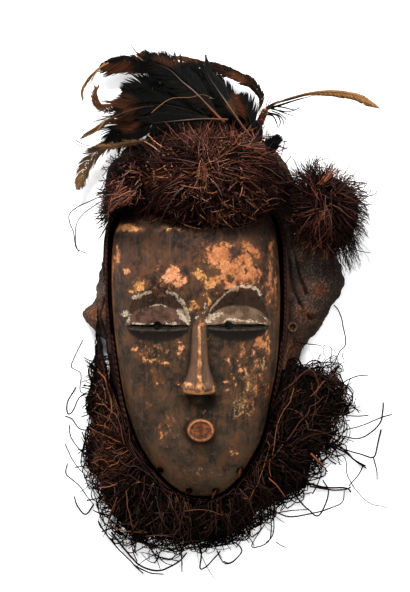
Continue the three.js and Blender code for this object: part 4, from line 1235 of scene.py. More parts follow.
CROWN_MAT = np.array([[24, 231, 50], [46, 31, 22]])
SIDE_MAT = np.array([[-58, 208, 20], [32, 20, 20]])
FOREHEAD_RUST = [(28, 228, 22), (-45, 186, 18), (58, 214, 12), (3, 184, 9), (60, 180, 14), (20, 140, 10)]
FOREHEAD_LOCKS = [
    (66, 212, 42, 213, 6, 5, 34, 0.5, 0.85, 2, 5, 0.5), (3, 208, 10, 236, 20, 30, 90, 0.25, 0.8, 4, 9, 0.5),
    (-8, 200, -42, 212, 10, 16, 50, 0.1, 0.6, 3, 7, 0.5), (4, 192, 3, 174, 4, 5, 16, 0.6, 0.9, 5, 7, 0.3),
    (-8, 196, -30, 184, 2, 2, 3, 0.85, 0.98, 5, 6, 0.8),
    (-16, 177, -36, 168, 8, 8, 6, 0.7, 0.95, 5, 5, 0.4), (12, 174, 15, 156, 4, 5, 4, 0.7, 0.9, 6, 6, 0.4),
    (20, 176, 44, 160, 6, 9, 12, 0.4, 0.75, 4, 6, 0.5), (44, 184, 70, 164, 6, 6, 14, 0.35, 0.8, 4, 6, 0.5),
    (40, 190, 78, 186, 10, 14, 50, 0.15, 0.6, 3, 6, 0.5),
    (-30, 180, -58, 172, 12, 14, 44, 0.2, 0.65, 2, 5, 0.5),
    (-40, 160, -60, 138, 16, 16, 60, 0.15, 0.6, 2, 2, 0.6),
    (-54, 166, -72, 148, 12, 12, 90, 0.1, 0.5, 2, 2, 0.6),
    (-50, 158, -62, 141, 10, 10, 60, 0.1, 0.5, 1, 1, 0.6),
    (-60, 156, -76, 148, 8, 7, 50, 0.15, 0.6, 1, 1, 0.6),
    (-50, 196, -72, 216, 14, 18, 90, 0.02, 0.45, 2, 2, 0.6),
    (-20, 158, -32, 130, 16, 20, 50, 0.02, 0.35, 2, 1, 0.6),
    (8, 158, 8, 128, 18, 20, 60, 0.02, 0.5, 2, 1, 0.6),
    (40, 160, 50, 132, 18, 20, 50, 0.05, 0.45, 2, 1, 0.6),
    (66, 164, 84, 140, 10, 14, 30, 0.1, 0.5, 2, 1, 0.6),
    (64, 192, 94, 176, 12, 14, 70, 0.1, 0.6, 3, 4, 0.8),
    (58, 202, 84, 194, 12, 14, 60, 0.1, 0.6, 3, 4, 0.8), (44, 212, 70, 212, 8, 10, 40, 0.1, 0.6, 3, 4, 0.8),
    (8, 222, 0, 242, 26, 30, 60, 0.3, 0.85, 3, 4, 0.7),
    (36, 222, 44, 244, 18, 20, 60, 0.3, 0.85, 3, 4, 0.7),
]
HANGING_LOCKS = [(14, 146, 17.5, 113, 2, 1.4, 5, 0.35, 0.7, 1, 2, 0.5)]
BROW_LINE = np.array([
    [-84, 152], [-75, 144.5], [-62, 135], [-50, 129], [0, 126], [60, 127], [76, 134], [88, 144],
])
forehead = joined(
    "forehead_raffia",
    core(FOREHEAD, 0.8),
    core(CROWN_MAT, 1.0, 24, 40),
    core(SIDE_MAT, 1.0, 24, 40),
    shaded(mop(FOREHEAD, (4, 183), 1450, 44, 11), FOREHEAD_RUST, 0, BROW_LINE),
    shaded(mop(FOREHEAD, (46, 178), 520, 30, 16, rise=8), FOREHEAD_RUST, 1, BROW_LINE),
    shaded(mop(FOREHEAD, (22, 214), 440, 26, 23, rise=8, lean=0.7), FOREHEAD_RUST, 4, BROW_LINE),
    shaded(mop(FOREHEAD, (-30, 172), 520, 30, 24, rise=8, lean=0.7), FOREHEAD_RUST, 5, BROW_LINE),
    shaded(locks(FOREHEAD, FOREHEAD_LOCKS, 17), (), 2, BROW_LINE),
    shaded(locks(FOREHEAD, HANGING_LOCKS, 29), (), 6),
    shaded(spiky(FOREHEAD, 520, 12, low=0.9, high=1.05), FOREHEAD_RUST, 3, BROW_LINE - [0, 2]),
)
finish_piece(forehead, "tuft_raffia", hair, "forehead_tuft")

LEFT_MAT = np.array([[-85, 177, 54], [22, 36, 34]])
LEFT_RUST = [(-88, 158, 14)]
LEFT_LOCKS = [
    (-80, 168, -97, 152, 12, 12, 90, 0.45, 0.95, 4, 5, 0.6),
    (-88, 160, -100, 146, 6, 8, 50, 0.3, 0.8, 4, 5, 0.6),
    (-92, 150, -108, 134, 8, 9, 60, 0.02, 0.35, 1, 1, 0.8),
    (-92, 160, -112, 156, 10, 14, 50, 0.02, 0.3, 1, 2, 0.6),
    (-96, 146, -118, 142, 4, 10, 12, 0.02, 0.25, 1, 1, 0.6),
    (-98, 136, -112, 118, 5, 7, 26, 0.02, 0.25, 1, 1, 0.9),
    (-84, 196, -94, 210, 10, 10, 36, 0.02, 0.3, 1, 2, 0.6),
    (-98, 126, -102, 112, 3, 4, 14, 0.02, 0.25, 1, 1, 1.0),
]
LEFT_LINE = np.array([
    [-122, 104], [-110, 108], [-101, 112], [-99, 138], [-94, 144], [-88, 148], [-76, 151], [-60, 150],
])
left = joined(
    "left_raffia",
    core(LEFT_MAT, 0.84, 30, 48),
    shaded(mop(LEFT_TUFT, (-66, 190), 720, 20, 13, crossing=0.3), LEFT_RUST, 0, LEFT_LINE),
    shaded(locks(LEFT_TUFT, LEFT_LOCKS, 18), (), 2, LEFT_LINE),
    shaded(spiky(LEFT_TUFT, 320, 14, low=0.9, high=1.1, down=0.25), LEFT_RUST, 3, LEFT_LINE),
)
finish_piece(left, "tuft_raffia", hair, "left_tuft")

POMPOM_LOCKS = [
    (134, 177, 153, 196, 4, 5, 22, 0.75, 1.0, 3, 8, 0.6),
    (136, 139, 114, 119, 9, 13, 60, 0.3, 0.9, 3, 3, 1.2),
    (122, 150, 100, 144, 8, 10, 40, 0.2, 0.6, 2, 2, 0.5),
    (142, 156, 156, 130, 16, 24, 56, 0.05, 0.8, 4, 4, 2.0),
    (136, 138, 138, 108, 14, 24, 50, 0.05, 0.8, 3, 2, 2.0),
    (156, 118, 170, 86, 10, 14, 90, 0.02, 0.35, 2, 1, 1.0),
    (122, 176, 106, 198, 10, 18, 80, 0.0, 0.4, 3, 3, 0.6),
    (130, 182, 132, 206, 10, 16, 60, 0.02, 0.45, 3, 3, 0.6),
    (160, 168, 188, 172, 10, 14, 50, 0.1, 0.6, 2, 2, 2.0),
    (164, 150, 190, 140, 10, 14, 40, 0.1, 0.5, 2, 2, 1.6),
    (160, 140, 184, 116, 10, 14, 40, 0.05, 0.45, 2, 2, 1.6),
    (126, 168, 128, 152, 8, 4, 14, 0.4, 0.8, 5, 5, 0.6),
    (150, 170, 168, 186, 4, 6, 12, 0.3, 0.6, 4, 4, 1.2),
    (124, 166, 103, 184, 12, 18, 110, 0.02, 0.5, 3, 3, 0.8),
    (120, 172, 99, 190, 8, 10, 40, 0.02, 0.4, 2, 2, 0.8),
]
pompom = joined(
    "pompom_raffia",
    core(POMPOM, 0.74, 30, 48),
    shaded(spiky(POMPOM, 1350, 15, 0.46, 0.74, 1.05, start=0.4, bend=3.2, skewed=0.46), [(132, 122, 12)]),
    shaded(locks(POMPOM, POMPOM_LOCKS, 19, thick=0.48), (), 2),
)
finish_piece(pompom, "tuft_raffia", hair, "right_pompom")

def cloth_finish():
    cloth = Finish("hood_weave", Roughness=0.9, Specular_IOR_Level=0.02)
    warp, weft = cloth.value("warp"), cloth.value("weft")
    across = (warp + weft) * (math.pi / 2.3)
    beyond = (warp - weft) * (math.pi / 2.3)
    weave = (across.sine() * beyond.sine()).size()
    thread = cloth.noise(1.1, 3, 0.6)
    stain = cloth.noise(26, 4, 0.6)
    fuzz = cloth.noise(5, 4, 0.65)
    crease = cloth.value("crease")
    rusty = cloth.value("rusty") * fuzz.step(0.3, 0.6)
    net = cloth.value("net")
    base = cloth.mix(stain.step(0.35, 0.66), (0.0095, 0.006, 0.005), (0.03, 0.0165, 0.0115))
    light = cloth.mix(rusty, (0.2, 0.145, 0.115), (0.3, 0.1, 0.035))
    threads = weave.step(0.3, 0.95) * (thread + 0.2) * (net * 0.85 + rusty * 0.6 + 0.36)
    specks = cloth.noise(2.6, 2, 0.5).step(0.5, 0.62)
    colour = cloth.coated(
        base,
        (rusty * 0.7, (0.07, 0.02, 0.009)),
        (threads, light),
        (specks * (net * 0.5 + rusty * 0.6 + 0.14), light),
        ((stain * 1.2 + fuzz * 0.5 - 0.2).step(0.66, 0.86) * 0.4, (0.1, 0.036, 0.017)),
        # Painted shade in the pleats, broken up by the fuzz.
        (crease.step(-0.1, -0.6) * (fuzz * 1.2 + 0.2), (0.007, 0.005, 0.004)),
        (cloth.value("hem").step(0.93, 0.99) * 0.6, (0.1, 0.036, 0.018)),
    )
    cloth.feed(Base_Color=colour)
    cloth.bump(weave * 0.8 + thread * 0.25, 0.8)
    return cloth


hood = make_hood()
finish_piece(hood, "hood_weave", cloth_finish(), "hood_cloth")


# The beard, in two halves, of long curly strands that fan out from the edge of the wood.
# Each row has its bearing, how far the beard reaches, and how high it stands.
BEARD_ROWS = np.array([
    [186, 116, 22], [194, 124, 28], [201, 128, 32], [207, 140, 34], [214, 147, 36], [220, 163, 38],
    [226, 186, 39], [231, 200, 40], [238, 217, 40], [243, 230, 40], [248, 243, 38], [254, 252, 36],
    [260, 247, 36], [266, 236, 34], [276, 231, 34], [282, 226, 35], [288, 217, 36], [294, 210, 37],
    [299, 204, 38], [304, 205, 40], [310, 207, 41], [316, 199, 42], [323, 201, 42], [329, 202, 41],
    [335, 195, 39], [341, 182, 34], [346, 160, 26],
])


def beard_top(bearing, share):
    """The height of the beard's top, at a bearing and a share of the way out."""
    height = table_at(BEARD_ROWS, bearing, 2)
    share = np.clip(share, 0, 1)
    return 3 + (height - 3) * (1 - share ** 2.2) * (0.86 + 0.14 * np.sin(math.pi * share))


def beard_reach(bearing):
    return np.maximum(table_at(BEARD_ROWS, bearing), seam_edge.at(bearing) + 10)


def beard_place(bearing, share, level):
    """A place in the beard: its bearing, how far out it is, and how high in the beard, both from 0 to 1."""
    from_wood = seam_edge.at(bearing)
    distance = from_wood + (beard_reach(bearing) - from_wood) * share
    return on_page(bearing, distance, beard_top(bearing, share) * level)


# How far the strands keep from the wood, so that the hem beside it stays in sight.
CLEAR_OF_HEM = np.array([[188, 15], [204, 13], [218, 9], [228, 1.5], [318, 1.5], [328, 7], [341, 10]])


def nearest_place(bearing):
    return wood_edge.at(bearing) + table_at(CLEAR_OF_HEM, bearing)


def over_cord(bearing, distance):
    """How high the strands lie at least, where they start over the cord round the wood."""
    return 21 * ease(seam_edge.at(bearing) - distance, -4, 2)


def beard_strands(first, last, count, seed, border, tangled=0.4):
    """Strands that wander out from the wood between two bearings, and loop back where the beard ends."""
    steps, pace = 22, 3.8
    rng = np.random.default_rng(seed)
    bearing = first + (last - first) * rng.random(count) ** 0.85
    tangle = rng.random(count) < tangled
    share = np.where(tangle, rng.uniform(0.1, 0.85, count), rng.uniform(-0.1, 0.1, count))
    place = beard_place(bearing, share, 1.0)[:, :2]
    lean = np.radians(np.interp(bearing, [188, 235, 262, 290, 341], [60, 38, 0, 34, 66]))
    heading = np.radians(bearing) + lean * rng.uniform(0.3, 1.2, count) + rng.normal(0, 0.35, count)
    heading = np.where(tangle, rng.uniform(0, 2 * math.pi, count), heading)
    sharp = rng.uniform(0.3, 2.2, count)
    bend = rng.normal(0, 0.016, count) - 0.012 * lean * ~tangle
    limit = rng.uniform(*border, count)
    farthest = np.minimum(limit + rng.uniform(0.02, 0.16, count), 1.13)
    thick = 0.64 * np.interp(limit, [0.7, 1.05], [0.9, 1.35])
    level = rng.uniform(0.3, 1.08, count)
    margin = rng.uniform(0, 3, count)
    drift = rng.normal(0, 0.16, count) / steps
    path = np.empty((count, steps, 3))
    for step in range(steps):
        bearing = bearing_of(*place.T)
        from_wood, reach = seam_edge.at(bearing), beard_reach(bearing)
        distance = np.linalg.norm(place, axis=1)
        far_end = from_wood + (reach - from_wood) * farthest
        kept = np.clip(distance, nearest_place(bearing) + margin, far_end)
        place = place * (kept / distance)[:, None]
        share = (kept - from_wood) / (reach - from_wood)
        level = np.clip(level + drift, 0.08, 1.12)
        path[:, step, :2] = place
        path[:, step, 2] = np.maximum(beard_top(bearing, share) * level, over_cord(bearing, kept))
        away = (heading - np.radians(bearing) + math.pi) % (2 * math.pi) - math.pi
        side = np.where(away >= 0, 1, -1)
        turn_back = 0.07 * sharp * ease(share, limit - 0.25, limit + 0.1)
        turn = side * (turn_back - 0.06 * ease(-share, -0.08, 0.0))
        outside = (bearing < 189) | (bearing > 346)
        turn = np.where(outside, 0.12 * (0.4 + sharp) * np.where(bearing < 250, 1, -1), turn)
        turn = np.where(share > farthest - 0.06, side * (0.08 + 0.07 * sharp), turn)
        bend = 0.94 * bend + rng.normal(0, 0.006, count)
        kink = rng.normal(0, 0.65, count) * (rng.random(count) < 0.14)
        heading = heading + (bend + turn) * pace + kink
        place = place + pace * towards(heading)
    path[..., 2] = np.maximum(path[..., 2], 1.0)
    # Strands that lie lower in the beard are darker: painted shade under the strands above them.
    shade = (0.35 * rng.random(count) + 0.65 * rng.random(count) ** 5) * (0.2 + 0.8 * level)
    return lifted(path), taper(steps, thick * rng.uniform(0.6, 1.3, count), 0.7), shade


def beard_sweeps(rows, seed):
    """Strands that run side by side. Each row has how many they are, how light they are at most, how far
    they spread at both ends, and the x and y of the places on the page that they pass, in turn."""
    steps = 15
    rng = np.random.default_rng(seed)
    groups = []
    for number, light, wide, wide_end, *route in rows:
        line = smooth_line(route, 80)
        run = np.gradient(line, axis=0)
        aside = unit(np.stack([-run[:, 1], run[:, 0]], -1))
        first = rng.uniform(-0.05, 0.4, (number, 1))
        last = rng.uniform(0.6, 1.05, (number, 1))
        at = np.clip(first + (last - first) * np.linspace(0, 1, steps), 0, 1)
        place = rng.uniform(-1, 1, (number, 1)) + rng.normal(0, 0.7, (number, 1)) * np.linspace(-1, 1, steps)
        out = place * (wide + (wide_end - wide) * at)
        shares = np.linspace(0, 1, len(line))
        flat = rows_at(at, shares, line) + out[..., None] * rows_at(at, shares, aside)
        flat = flat + wander(rng, number, steps, rng.uniform(0.6, 3.4, (number, 1, 1)))[..., :2]
        bearing = bearing_of(flat[..., 0], flat[..., 1])
        distance = np.linalg.norm(flat, axis=-1)
        kept = np.maximum(distance, nearest_place(bearing))
        flat = flat * (kept / distance)[..., None]
        from_wood = seam_edge.at(bearing)
        share = (kept - from_wood) / (beard_reach(bearing) - from_wood)
        top = beard_top(bearing, share) * rng.uniform(0.8, 1.1, (number, 1)) + 1
        top = np.maximum(top, over_cord(bearing, distance))
        shade = 1.1 * light * (0.1 + 0.9 * rng.random(number) ** 1.6)
        radii = taper(steps, 0.55 * rng.uniform(0.6, 1.3, number), 0.6)
        groups.append((lifted(np.concatenate([flat, top[..., None]], -1)), radii, shade))
    return all_groups(groups)


RIGHT_SWEEPS = [
    (47, 0.62, 5, 12, 88, -104, 98, -68, 114, -38), (54, 0.6, 6, 14, 92, -104, 114, -72, 138, -48),
    (54, 0.6, 5, 15, 95, -110, 121, -86, 155, -74), (47, 0.5, 6, 16, 96, -116, 127, -107, 160, -114),
    (40, 0.55, 7, 14, 88, -120, 114, -132, 142, -142), (40, 0.55, 7, 14, 77, -133, 96, -149, 116, -170),
    (40, 0.6, 6, 12, 52, -156, 72, -166, 96, -182), (40, 0.6, 7, 12, 39, -165, 49, -182, 58, -208),
    (34, 0.55, 8, 12, 20, -172, 26, -196, 32, -222),
]
LEFT_SWEEPS = [
    (40, 0.7, 6, 12, -81, -110, -104, -102, -128, -104), (23, 0.5, 5, 10, -80, -111, -91, -76, -112, -44),
    (40, 0.65, 6, 12, -78, -117, -99, -127, -124, -138),
    (40, 0.75, 6, 12, -69, -127, -90, -146, -118, -162),
    (40, 0.75, 6, 12, -58, -141, -78, -164, -106, -188), (40, 0.7, 6, 12, -51, -150, -59, -182, -80, -214),
    (34, 0.65, 6, 10, -42, -156, -45, -187, -53, -218), (34, 0.6, 8, 12, -23, -169, -20, -190, -17, -218),
    (34, 0.55, 8, 12, 1, -174, 5, -199, 2, -224),
    (40, 0.6, 5, 5, -92, -76, -79, -114, -52, -149, -28, -168),
]


def beard_chips(first, last, count, seed, steps=6, shares=(0.1, 0.85), levels=(0.75, 1.08),
                half=(3, 11), bend=1.6, light=0.85):
    """Short stiff pieces that lie across the long strands."""
    rng = np.random.default_rng(seed)
    bearing = rng.uniform(first, last, count)
    share = rng.uniform(*shares, count)
    middle = beard_place(bearing, share, rng.uniform(*levels, count))
    heading = rng.uniform(0, 2 * math.pi, count)
    half_length = rng.uniform(*half, count)
    way = np.column_stack([towards(heading), rng.normal(0, 0.2, count)]) * half_length[:, None]
    bow = rng.normal(0, bend, (count, 3))
    near, far = middle + bow - 0.3 * way, middle + bow + 0.3 * way
    paths = curve_through(middle - way, near, far, middle + way, steps)
    paths[..., 2] = np.maximum(paths[..., 2], 2.0)
    shade = light * rng.random(count) ** 2.4
    return lifted(paths), taper(steps, rng.uniform(0.4, 0.95, count), 0.5), shade


# How far out the mat under the beard reaches, by bearing, from 0 to 1.
MAT_REACH = np.array([
    [188, 0.05], [202, 0.25], [210, 0.78], [218, 0.86], [236, 0.84], [248, 0.74], [262, 0.7],
    [275, 0.74], [300, 0.8], [314, 0.88], [330, 0.84], [340, 0.76],
])


def beard_mat(first, last):
    """The closed mat of fibre under the strands between two bearings, 1.5 mm thick."""
    # The mat stands for the dense dark fibre under the strands, painted in the darkest colour as the shade
    # beneath them.
    bearing, share = np.meshgrid(np.linspace(first, last, 60), np.linspace(0, 1, 18), indexing="ij")
    share = share * table_at(MAT_REACH, bearing) * (1 + 0.2 * lumps(bearing[..., None], 6, 31))
    uneven = 0.06 * lumps(np.stack([bearing, 40 * share], -1), 6, 32)
    top = beard_place(bearing, share, 0.55 * (1 - 0.5 * share) + uneven)
    top[..., 2] = np.maximum(top[..., 2], 2.2)
    points = np.concatenate([top, top[:, ::-1] - [0, 0, 1.5]], 1)
    return points.reshape(-1, 3), tube_faces(*points.shape[:2]), {"mat": 1}


BEARD_RUST = [
    (-112, -98, 26), (-105, -140, 22), (-95, -60, 12), (20, -178, 16), (120, -110, 12), (60, -165, 14),
]
FREE_ENDS = [10, (0.68, 1.02), (0.4, 1.0), (7, 19), 5, 0.4]
BEARD_HALVES = [("left", 188.5, 264, 41, LEFT_SWEEPS), ("right", 264, 345, 43, RIGHT_SWEEPS)]
for side, first, last, seed, sweeps in BEARD_HALVES:
    half_beard = joined(
        f"beard_{side}",
        beard_mat(first, last),
        shaded(beard_strands(first, last, 530, seed, (0.62, 1.02)), BEARD_RUST, seed),
        shaded(beard_strands(first, last, 190, seed + 1, (0.86, 1.06), 0.8), (), seed),
        shaded(beard_sweeps(sweeps, seed + 4), BEARD_RUST, seed),
        shaded(beard_chips(first, last, 130, seed + 2), BEARD_RUST, seed),
        shaded(beard_chips(first, last, 156, seed + 3, *FREE_ENDS), (), seed),
    )
    finish_piece(half_beard, "beard_raffia", beard_hair, "beard")

# The lacing: a strip of hide through each hole of the chin, that comes up over the edge.
stitch_paths = []
for bearing in LACING_BEARINGS:
    edge = wood_edge.at(bearing)
    bearings = bearing + np.array([0.6, 0.0, -0.8, -1.4, -1.6])
    spots = on_page(bearings, edge + np.array([-9, -7.5, -4, 0.5, 3]), 0.0)
    spots[:, 2] = front_at(spots[:, 0], spots[:, 1]) + np.array([-6, -2.5, 1.2, 0, 0])
    spots[3:, 2] = [24, 16]
    stitch_paths.append(smooth_line(spots, 14))
stitch_width = [[1.0], [1.1], [1.5], [1.8]]
stitches = fibres(np.array(stitch_paths), stitch_width, {"tint": [0.2, 0.4, 0.9, 1.0]}, 6, flat=0.5, seed=8)
finish_piece(joined("chin_lacing", stitches), "beard_raffia", beard_hair)


def beside(line):
    """The directions to the side of a line of points, and up from it."""
    run = unit(np.gradient(line, axis=0))
    side = unit(np.cross(run, [0, 0, 1]))
    return side, np.cross(side, run)


def twisted_cord(line, radius, pitch, tints, grey=0.5):
    """Three plies along a line of points, wound to one cord."""
    side, up = beside(line)
    plies = []
    for ply in range(3):
        turn = 2 * math.pi * (covered_along(line) / pitch + ply / 3)[:, None]
        plies.append(line + 0.5 * radius * (np.cos(turn) * side + np.sin(turn) * up))
    return fibres(np.array(plies), 0.52 * radius, {"tint": tints, "grey": grey}, 5)


# The hem of the hood, rolled round a cord, drawn tight against the wood, and tied on below the cloth. A
# near-black tube low in the gap between the wood and the cloth is painted shade there.
hem_bearings = np.linspace(-34, 227, 380)
hem_height = np.interp(hem_bearings, [-34, -19, 188, 227], [-3, 0, 0, -3]) + hood_row(hem_bearings)[1] - 1.5
gap_shade_line = on_page(hem_bearings, EdgeLine(1.6).at(hem_bearings), hem_height)
gap_shade_line[:, 2] += 0.5 * lumps(gap_shade_line, 12, 4)
hem_width = np.interp(hem_bearings, [-34, -26, 216, 227], [0.45, 1, 1, 0.45])
hem_cord = on_page(hem_bearings, EdgeLine(4.3).at(hem_bearings), hem_height + 1.5)
outer_hem = on_page(hem_bearings, EdgeLine(6.5).at(hem_bearings), hem_height - 5)
outer_hem[:, :2] += 0.7 * pushes(outer_hem, 9, 5)
outer_width = 3.8 * hem_width * np.interp(hem_bearings, [116, 128, 148, 158], [1, 0.5, 0.5, 1])
hem = joined(
    "hood_hem_roll",
    twisted_cord(hem_cord, 1.6, 6, (0.3, 0.42, 0.24), 0.75),
    # Painted shade: a near-black tube low in the gap beside the wood.
    fibres((gap_shade_line - [0, 0, 7])[None], 3.4 * hem_width, {"tint": 0}, 8, seed=3),
    fibres(outer_hem[None], outer_width, {"tint": 0.2, "grey": 1}, 10, seed=4),
)
finish_piece(hem, "hood_weave", hair)

# The cord round the wood, where the hood leaves it free, over a near-black tube beside the wood: painted
# shade in the gap under the cord.
cord_bearings = np.linspace(140, 400, 380)
cord_line = on_page(cord_bearings, EdgeLine(2.6).at(cord_bearings), 17)
cord_gap_shade = fibres((cord_line - [0, 0, 7])[None], 4.2, {"tint": 0}, 8, seed=5)
cord = joined("rim_cord_twisted", twisted_cord(cord_line, 1.6, 7, (0.5, 0.75, 0.35)), cord_gap_shade)
finish_piece(cord, "beard_raffia", beard_hair, "rim_cord")

RING_MIDDLE, RING_RADIUS = np.array([105.0, 19.0]), 4.5
ring_flat = RING_MIDDLE + RING_RADIUS * towards(np.linspace(0, 2.1 * math.pi, 90))
ring_line = np.column_stack([ring_flat, np.full(90, cloth_at(*RING_MIDDLE) + 2.6)])
ear_ring = joined("ear_ring_cord", twisted_cord(ring_line, 1.2, 5, (0.6, 0.85, 0.7)))
finish_piece(ear_ring, "beard_raffia", beard_hair, "ear_ring")


# The feathers, from the lowest to the highest layer.
def crest_at(x, y, layer):
    """The height of a layer of feathers over a place on the page."""
    near = np.exp(-((x - 30) ** 2 + (y - 235) ** 2) / 78 ** 2)
    return 8 + 29 * near + layer * (1.9 + 1.5 * near)


READ_HEIGHT = 50


def moved_in(spots, layer):
    """Places read from the photograph for one height, at the height of a layer of feathers."""
    eye_place, eye_height = np.array(CAMERA_PLACE[:2]), CAMERA_PLACE[2]
    nearer = (eye_height - crest_at(*spots.T, layer)) / (eye_height - READ_HEIGHT)
    return eye_place + (spots - eye_place) * nearer[:, None]


# Each feather's name, half width, where along the quill it is widest, how loose its barbs are from 0 to 1,
# how wide its left and right vanes are, where its vanes start, its colour, and the x and y of the places on
# the page that its quill runs through, in turn.
FEATHERS = [
    ("arched_back", 7.5, 0.25, 0.12, 0.9, 1.0, 0.02, "brown", [66, 259, 69, 271, 65.5, 280, 59.7, 287.4,
     52, 292, 42, 297, 26, 303.5, 6, 309, -20, 317, -40, 314]),
    ("back_fan_right", 25, 0.35, 0.2, 1.2, 0.55, 0.02, "black", [54, 238, 28, 275, 2, 300, -22, 311]),
    ("long_right", 7, 0.7, 0.02, 0.4, 1, 0.34, "tan", [67, 250, 78.7, 263, 91.4, 269.6, 105.4, 274.6,
     121.9, 278.5, 142.2, 280, 161.3, 278.6, 177.8, 275, 189.2, 269, 200, 262]),
    ("far_left_hook", 3.4, 0.75, 0.8, 1, 0.3, 0.3, "dun", [-60, 312, -84, 314, -104, 311, -117, 300, -126,
     289, -130, 280, -129, 270]),
    ("back_fan_middle", 19, 0.66, 0.3, 1.0, 0.35, 0.1, "black", [25, 250, -10, 288, -48, 308, -78, 314,
     -108, 311]),
    ("left_curl", 12, 0.7, 0.7, 0.35, 1.1, 0.1, "brown", [1, 268, -40, 276, -63, 274, -80, 268, -93, 263,
     -104, 260, -113, 265, -117, 275, -115, 285]),
    ("drooping_left", 10, 0.6, 0.7, 1, 1, 0.1, "dun", [-58, 240, -96, 224, -122, 203, -134, 172]),
    ("dark_left", 20, 0.6, 0.25, 1, 1.1, 0.1, "black", [-12, 252, -56, 252, -80, 242, -94, 226]),
    ("front_fan_low", 18, 0.5, 0.3, 1.2, 1, 0.1, "black", [30, 246, -15, 246, -54, 243, -84, 232]),
    ("middle_fan", 20, 0.5, 0.3, 1.1, 1, 0.1, "black", [22, 248, -20, 270, -56, 282, -84, 280]),
    ("front_fan_middle", 21, 0.45, 0.3, 1, 1, 0.1, "black", [21, 246, -21, 262, -60, 266, -92, 258]),
    ("downy_middle", 17, 0.4, 0.45, 1, 0.8, 0.02, "black", [58, 232, 56, 250, 44, 276]),
    ("tan_left", 4, 0.5, 0.75, 1, 1, 0.15, "dun", [-30, 236, -53, 227, -79, 222.5, -99, 219, -115, 219.5]),
    ("upper_fan", 18, 0.5, 0.2, 1, 1, 0.05, "black", [18, 252, -12, 284, -40, 304, -66, 313]),
    ("main_left", 17, 0.42, 0.2, 1, 1.1, 0.1, "black", [28, 246, 18.8, 255, -3.3, 278.3, -18.5, 291, -32.4,
     303.9, -51, 312, -67, 321]),
    ("crossing_strands", 3.2, 0.6, 0.5, 1, 1, 0.35, "dun", [-50, 264, -66, 262, -90, 254, -112, 240, -131,
     228]),
    ("upright", 10, 0.4, 0.05, 0.5, 0.95, 0.22, "black", [58, 229, 45.3, 245.7, 30.4, 267.8, 17.6, 286.4,
     9.5, 300.4, 7.1, 320]),
    ("level", 10, 0.55, 0.1, 0.3, 1.1, 0.2, "black", [32, 249, 2.5, 249.7, -36, 246.6, -56, 245.7, -67,
     250]),
    ("short_right", 8.5, 0.4, 0.34, 1, 1.1, 0.0, "black", [70, 196, 73, 207, 78, 219, 88, 231]),
]
# How thick the quills are that can be seen, and how much they keep their own colour.
QUILLS = {
    "main_left": (1.3, 1.0), "upright": (1.2, 1.0), "level": (1.1, 1.0), "long_right": (1.2, 0.15),
    "short_right": (0.7, 0.8),
}
PLAIN_QUILL = (0.7, 0.15)
# Where the dark vanes turn brown, as places on the page: middle, half width and half height.
BROWN_PLACES = [
    (40, 297, 12, 5), (-96, 307, 16, 11), (-110, 272, 10, 15), (-88, 269, 18, 8), (-80, 248, 12, 11),
    (-33, 317, 15, 5), (40, 262, 9, 17), (-72, 328, 8, 12), (-128, 230, 16, 12),
]
# Thin strands of the feathers that stand apart: the colour, how thick each is, and its points' x and y.
WISPS = [
    ("black", 0.9, -58, 312, -66, 320, -73, 328, -79, 339),
    ("tan", 0.4, -62, 314, -72, 323, -78, 331, -83, 341), ("black", 0.5, -57, 314, -58, 322, -59, 329),
    ("black", 0.6, -20, 312, -20, 320, -23, 326), ("tan", 0.6, -104, 312, -114, 301, -121, 288, -122, 276),
    ("tan", 0.5, -106, 310, -116, 297, -120, 284, -119, 272),
    ("tan", 0.8, -100, 312, -113, 304, -125, 292, -129, 276),
    ("tan", 0.35, -53, 256, -44, 264, -30, 272.5, -9, 273.5, 3, 276.5, 15, 273),
    ("black", 0.9, -84, 258, -102, 251, -119, 246), ("black", 0.6, -136, 226, -126, 221, -112, 219),
    ("black", 0.5, -137, 223, -126, 218, -113, 217), ("tan", 0.8, -104, 248, -114, 236, -130, 229),
    ("black", 1.7, 74, 262, 86, 268, 100, 271.5, 122, 277),
    ("black", 1.4, 76, 261, 92, 266, 108, 271, 124, 275),
    ("black", 1.0, 76, 264, 92, 263, 106, 260, 113, 265), ("black", 0.9, 78, 263, 93, 257, 108, 252),
    ("black", 0.9, 76, 262, 90, 259, 100, 258, 112, 262),
    ("black", 1.1, 76, 256, 86, 254, 90, 247, 88, 240), ("black", 1.0, 76, 257, 88, 254, 93, 248, 94, 242),
    ("black", 1.0, 74, 255, 82, 253, 86, 245, 87, 240), ("black", 0.8, 80, 259, 90, 255, 96, 249, 95, 244),
    ("black", 0.5, 76, 265, 80, 271, 82, 276), ("black", 0.5, 74, 264, 76, 270, 79, 274),
]


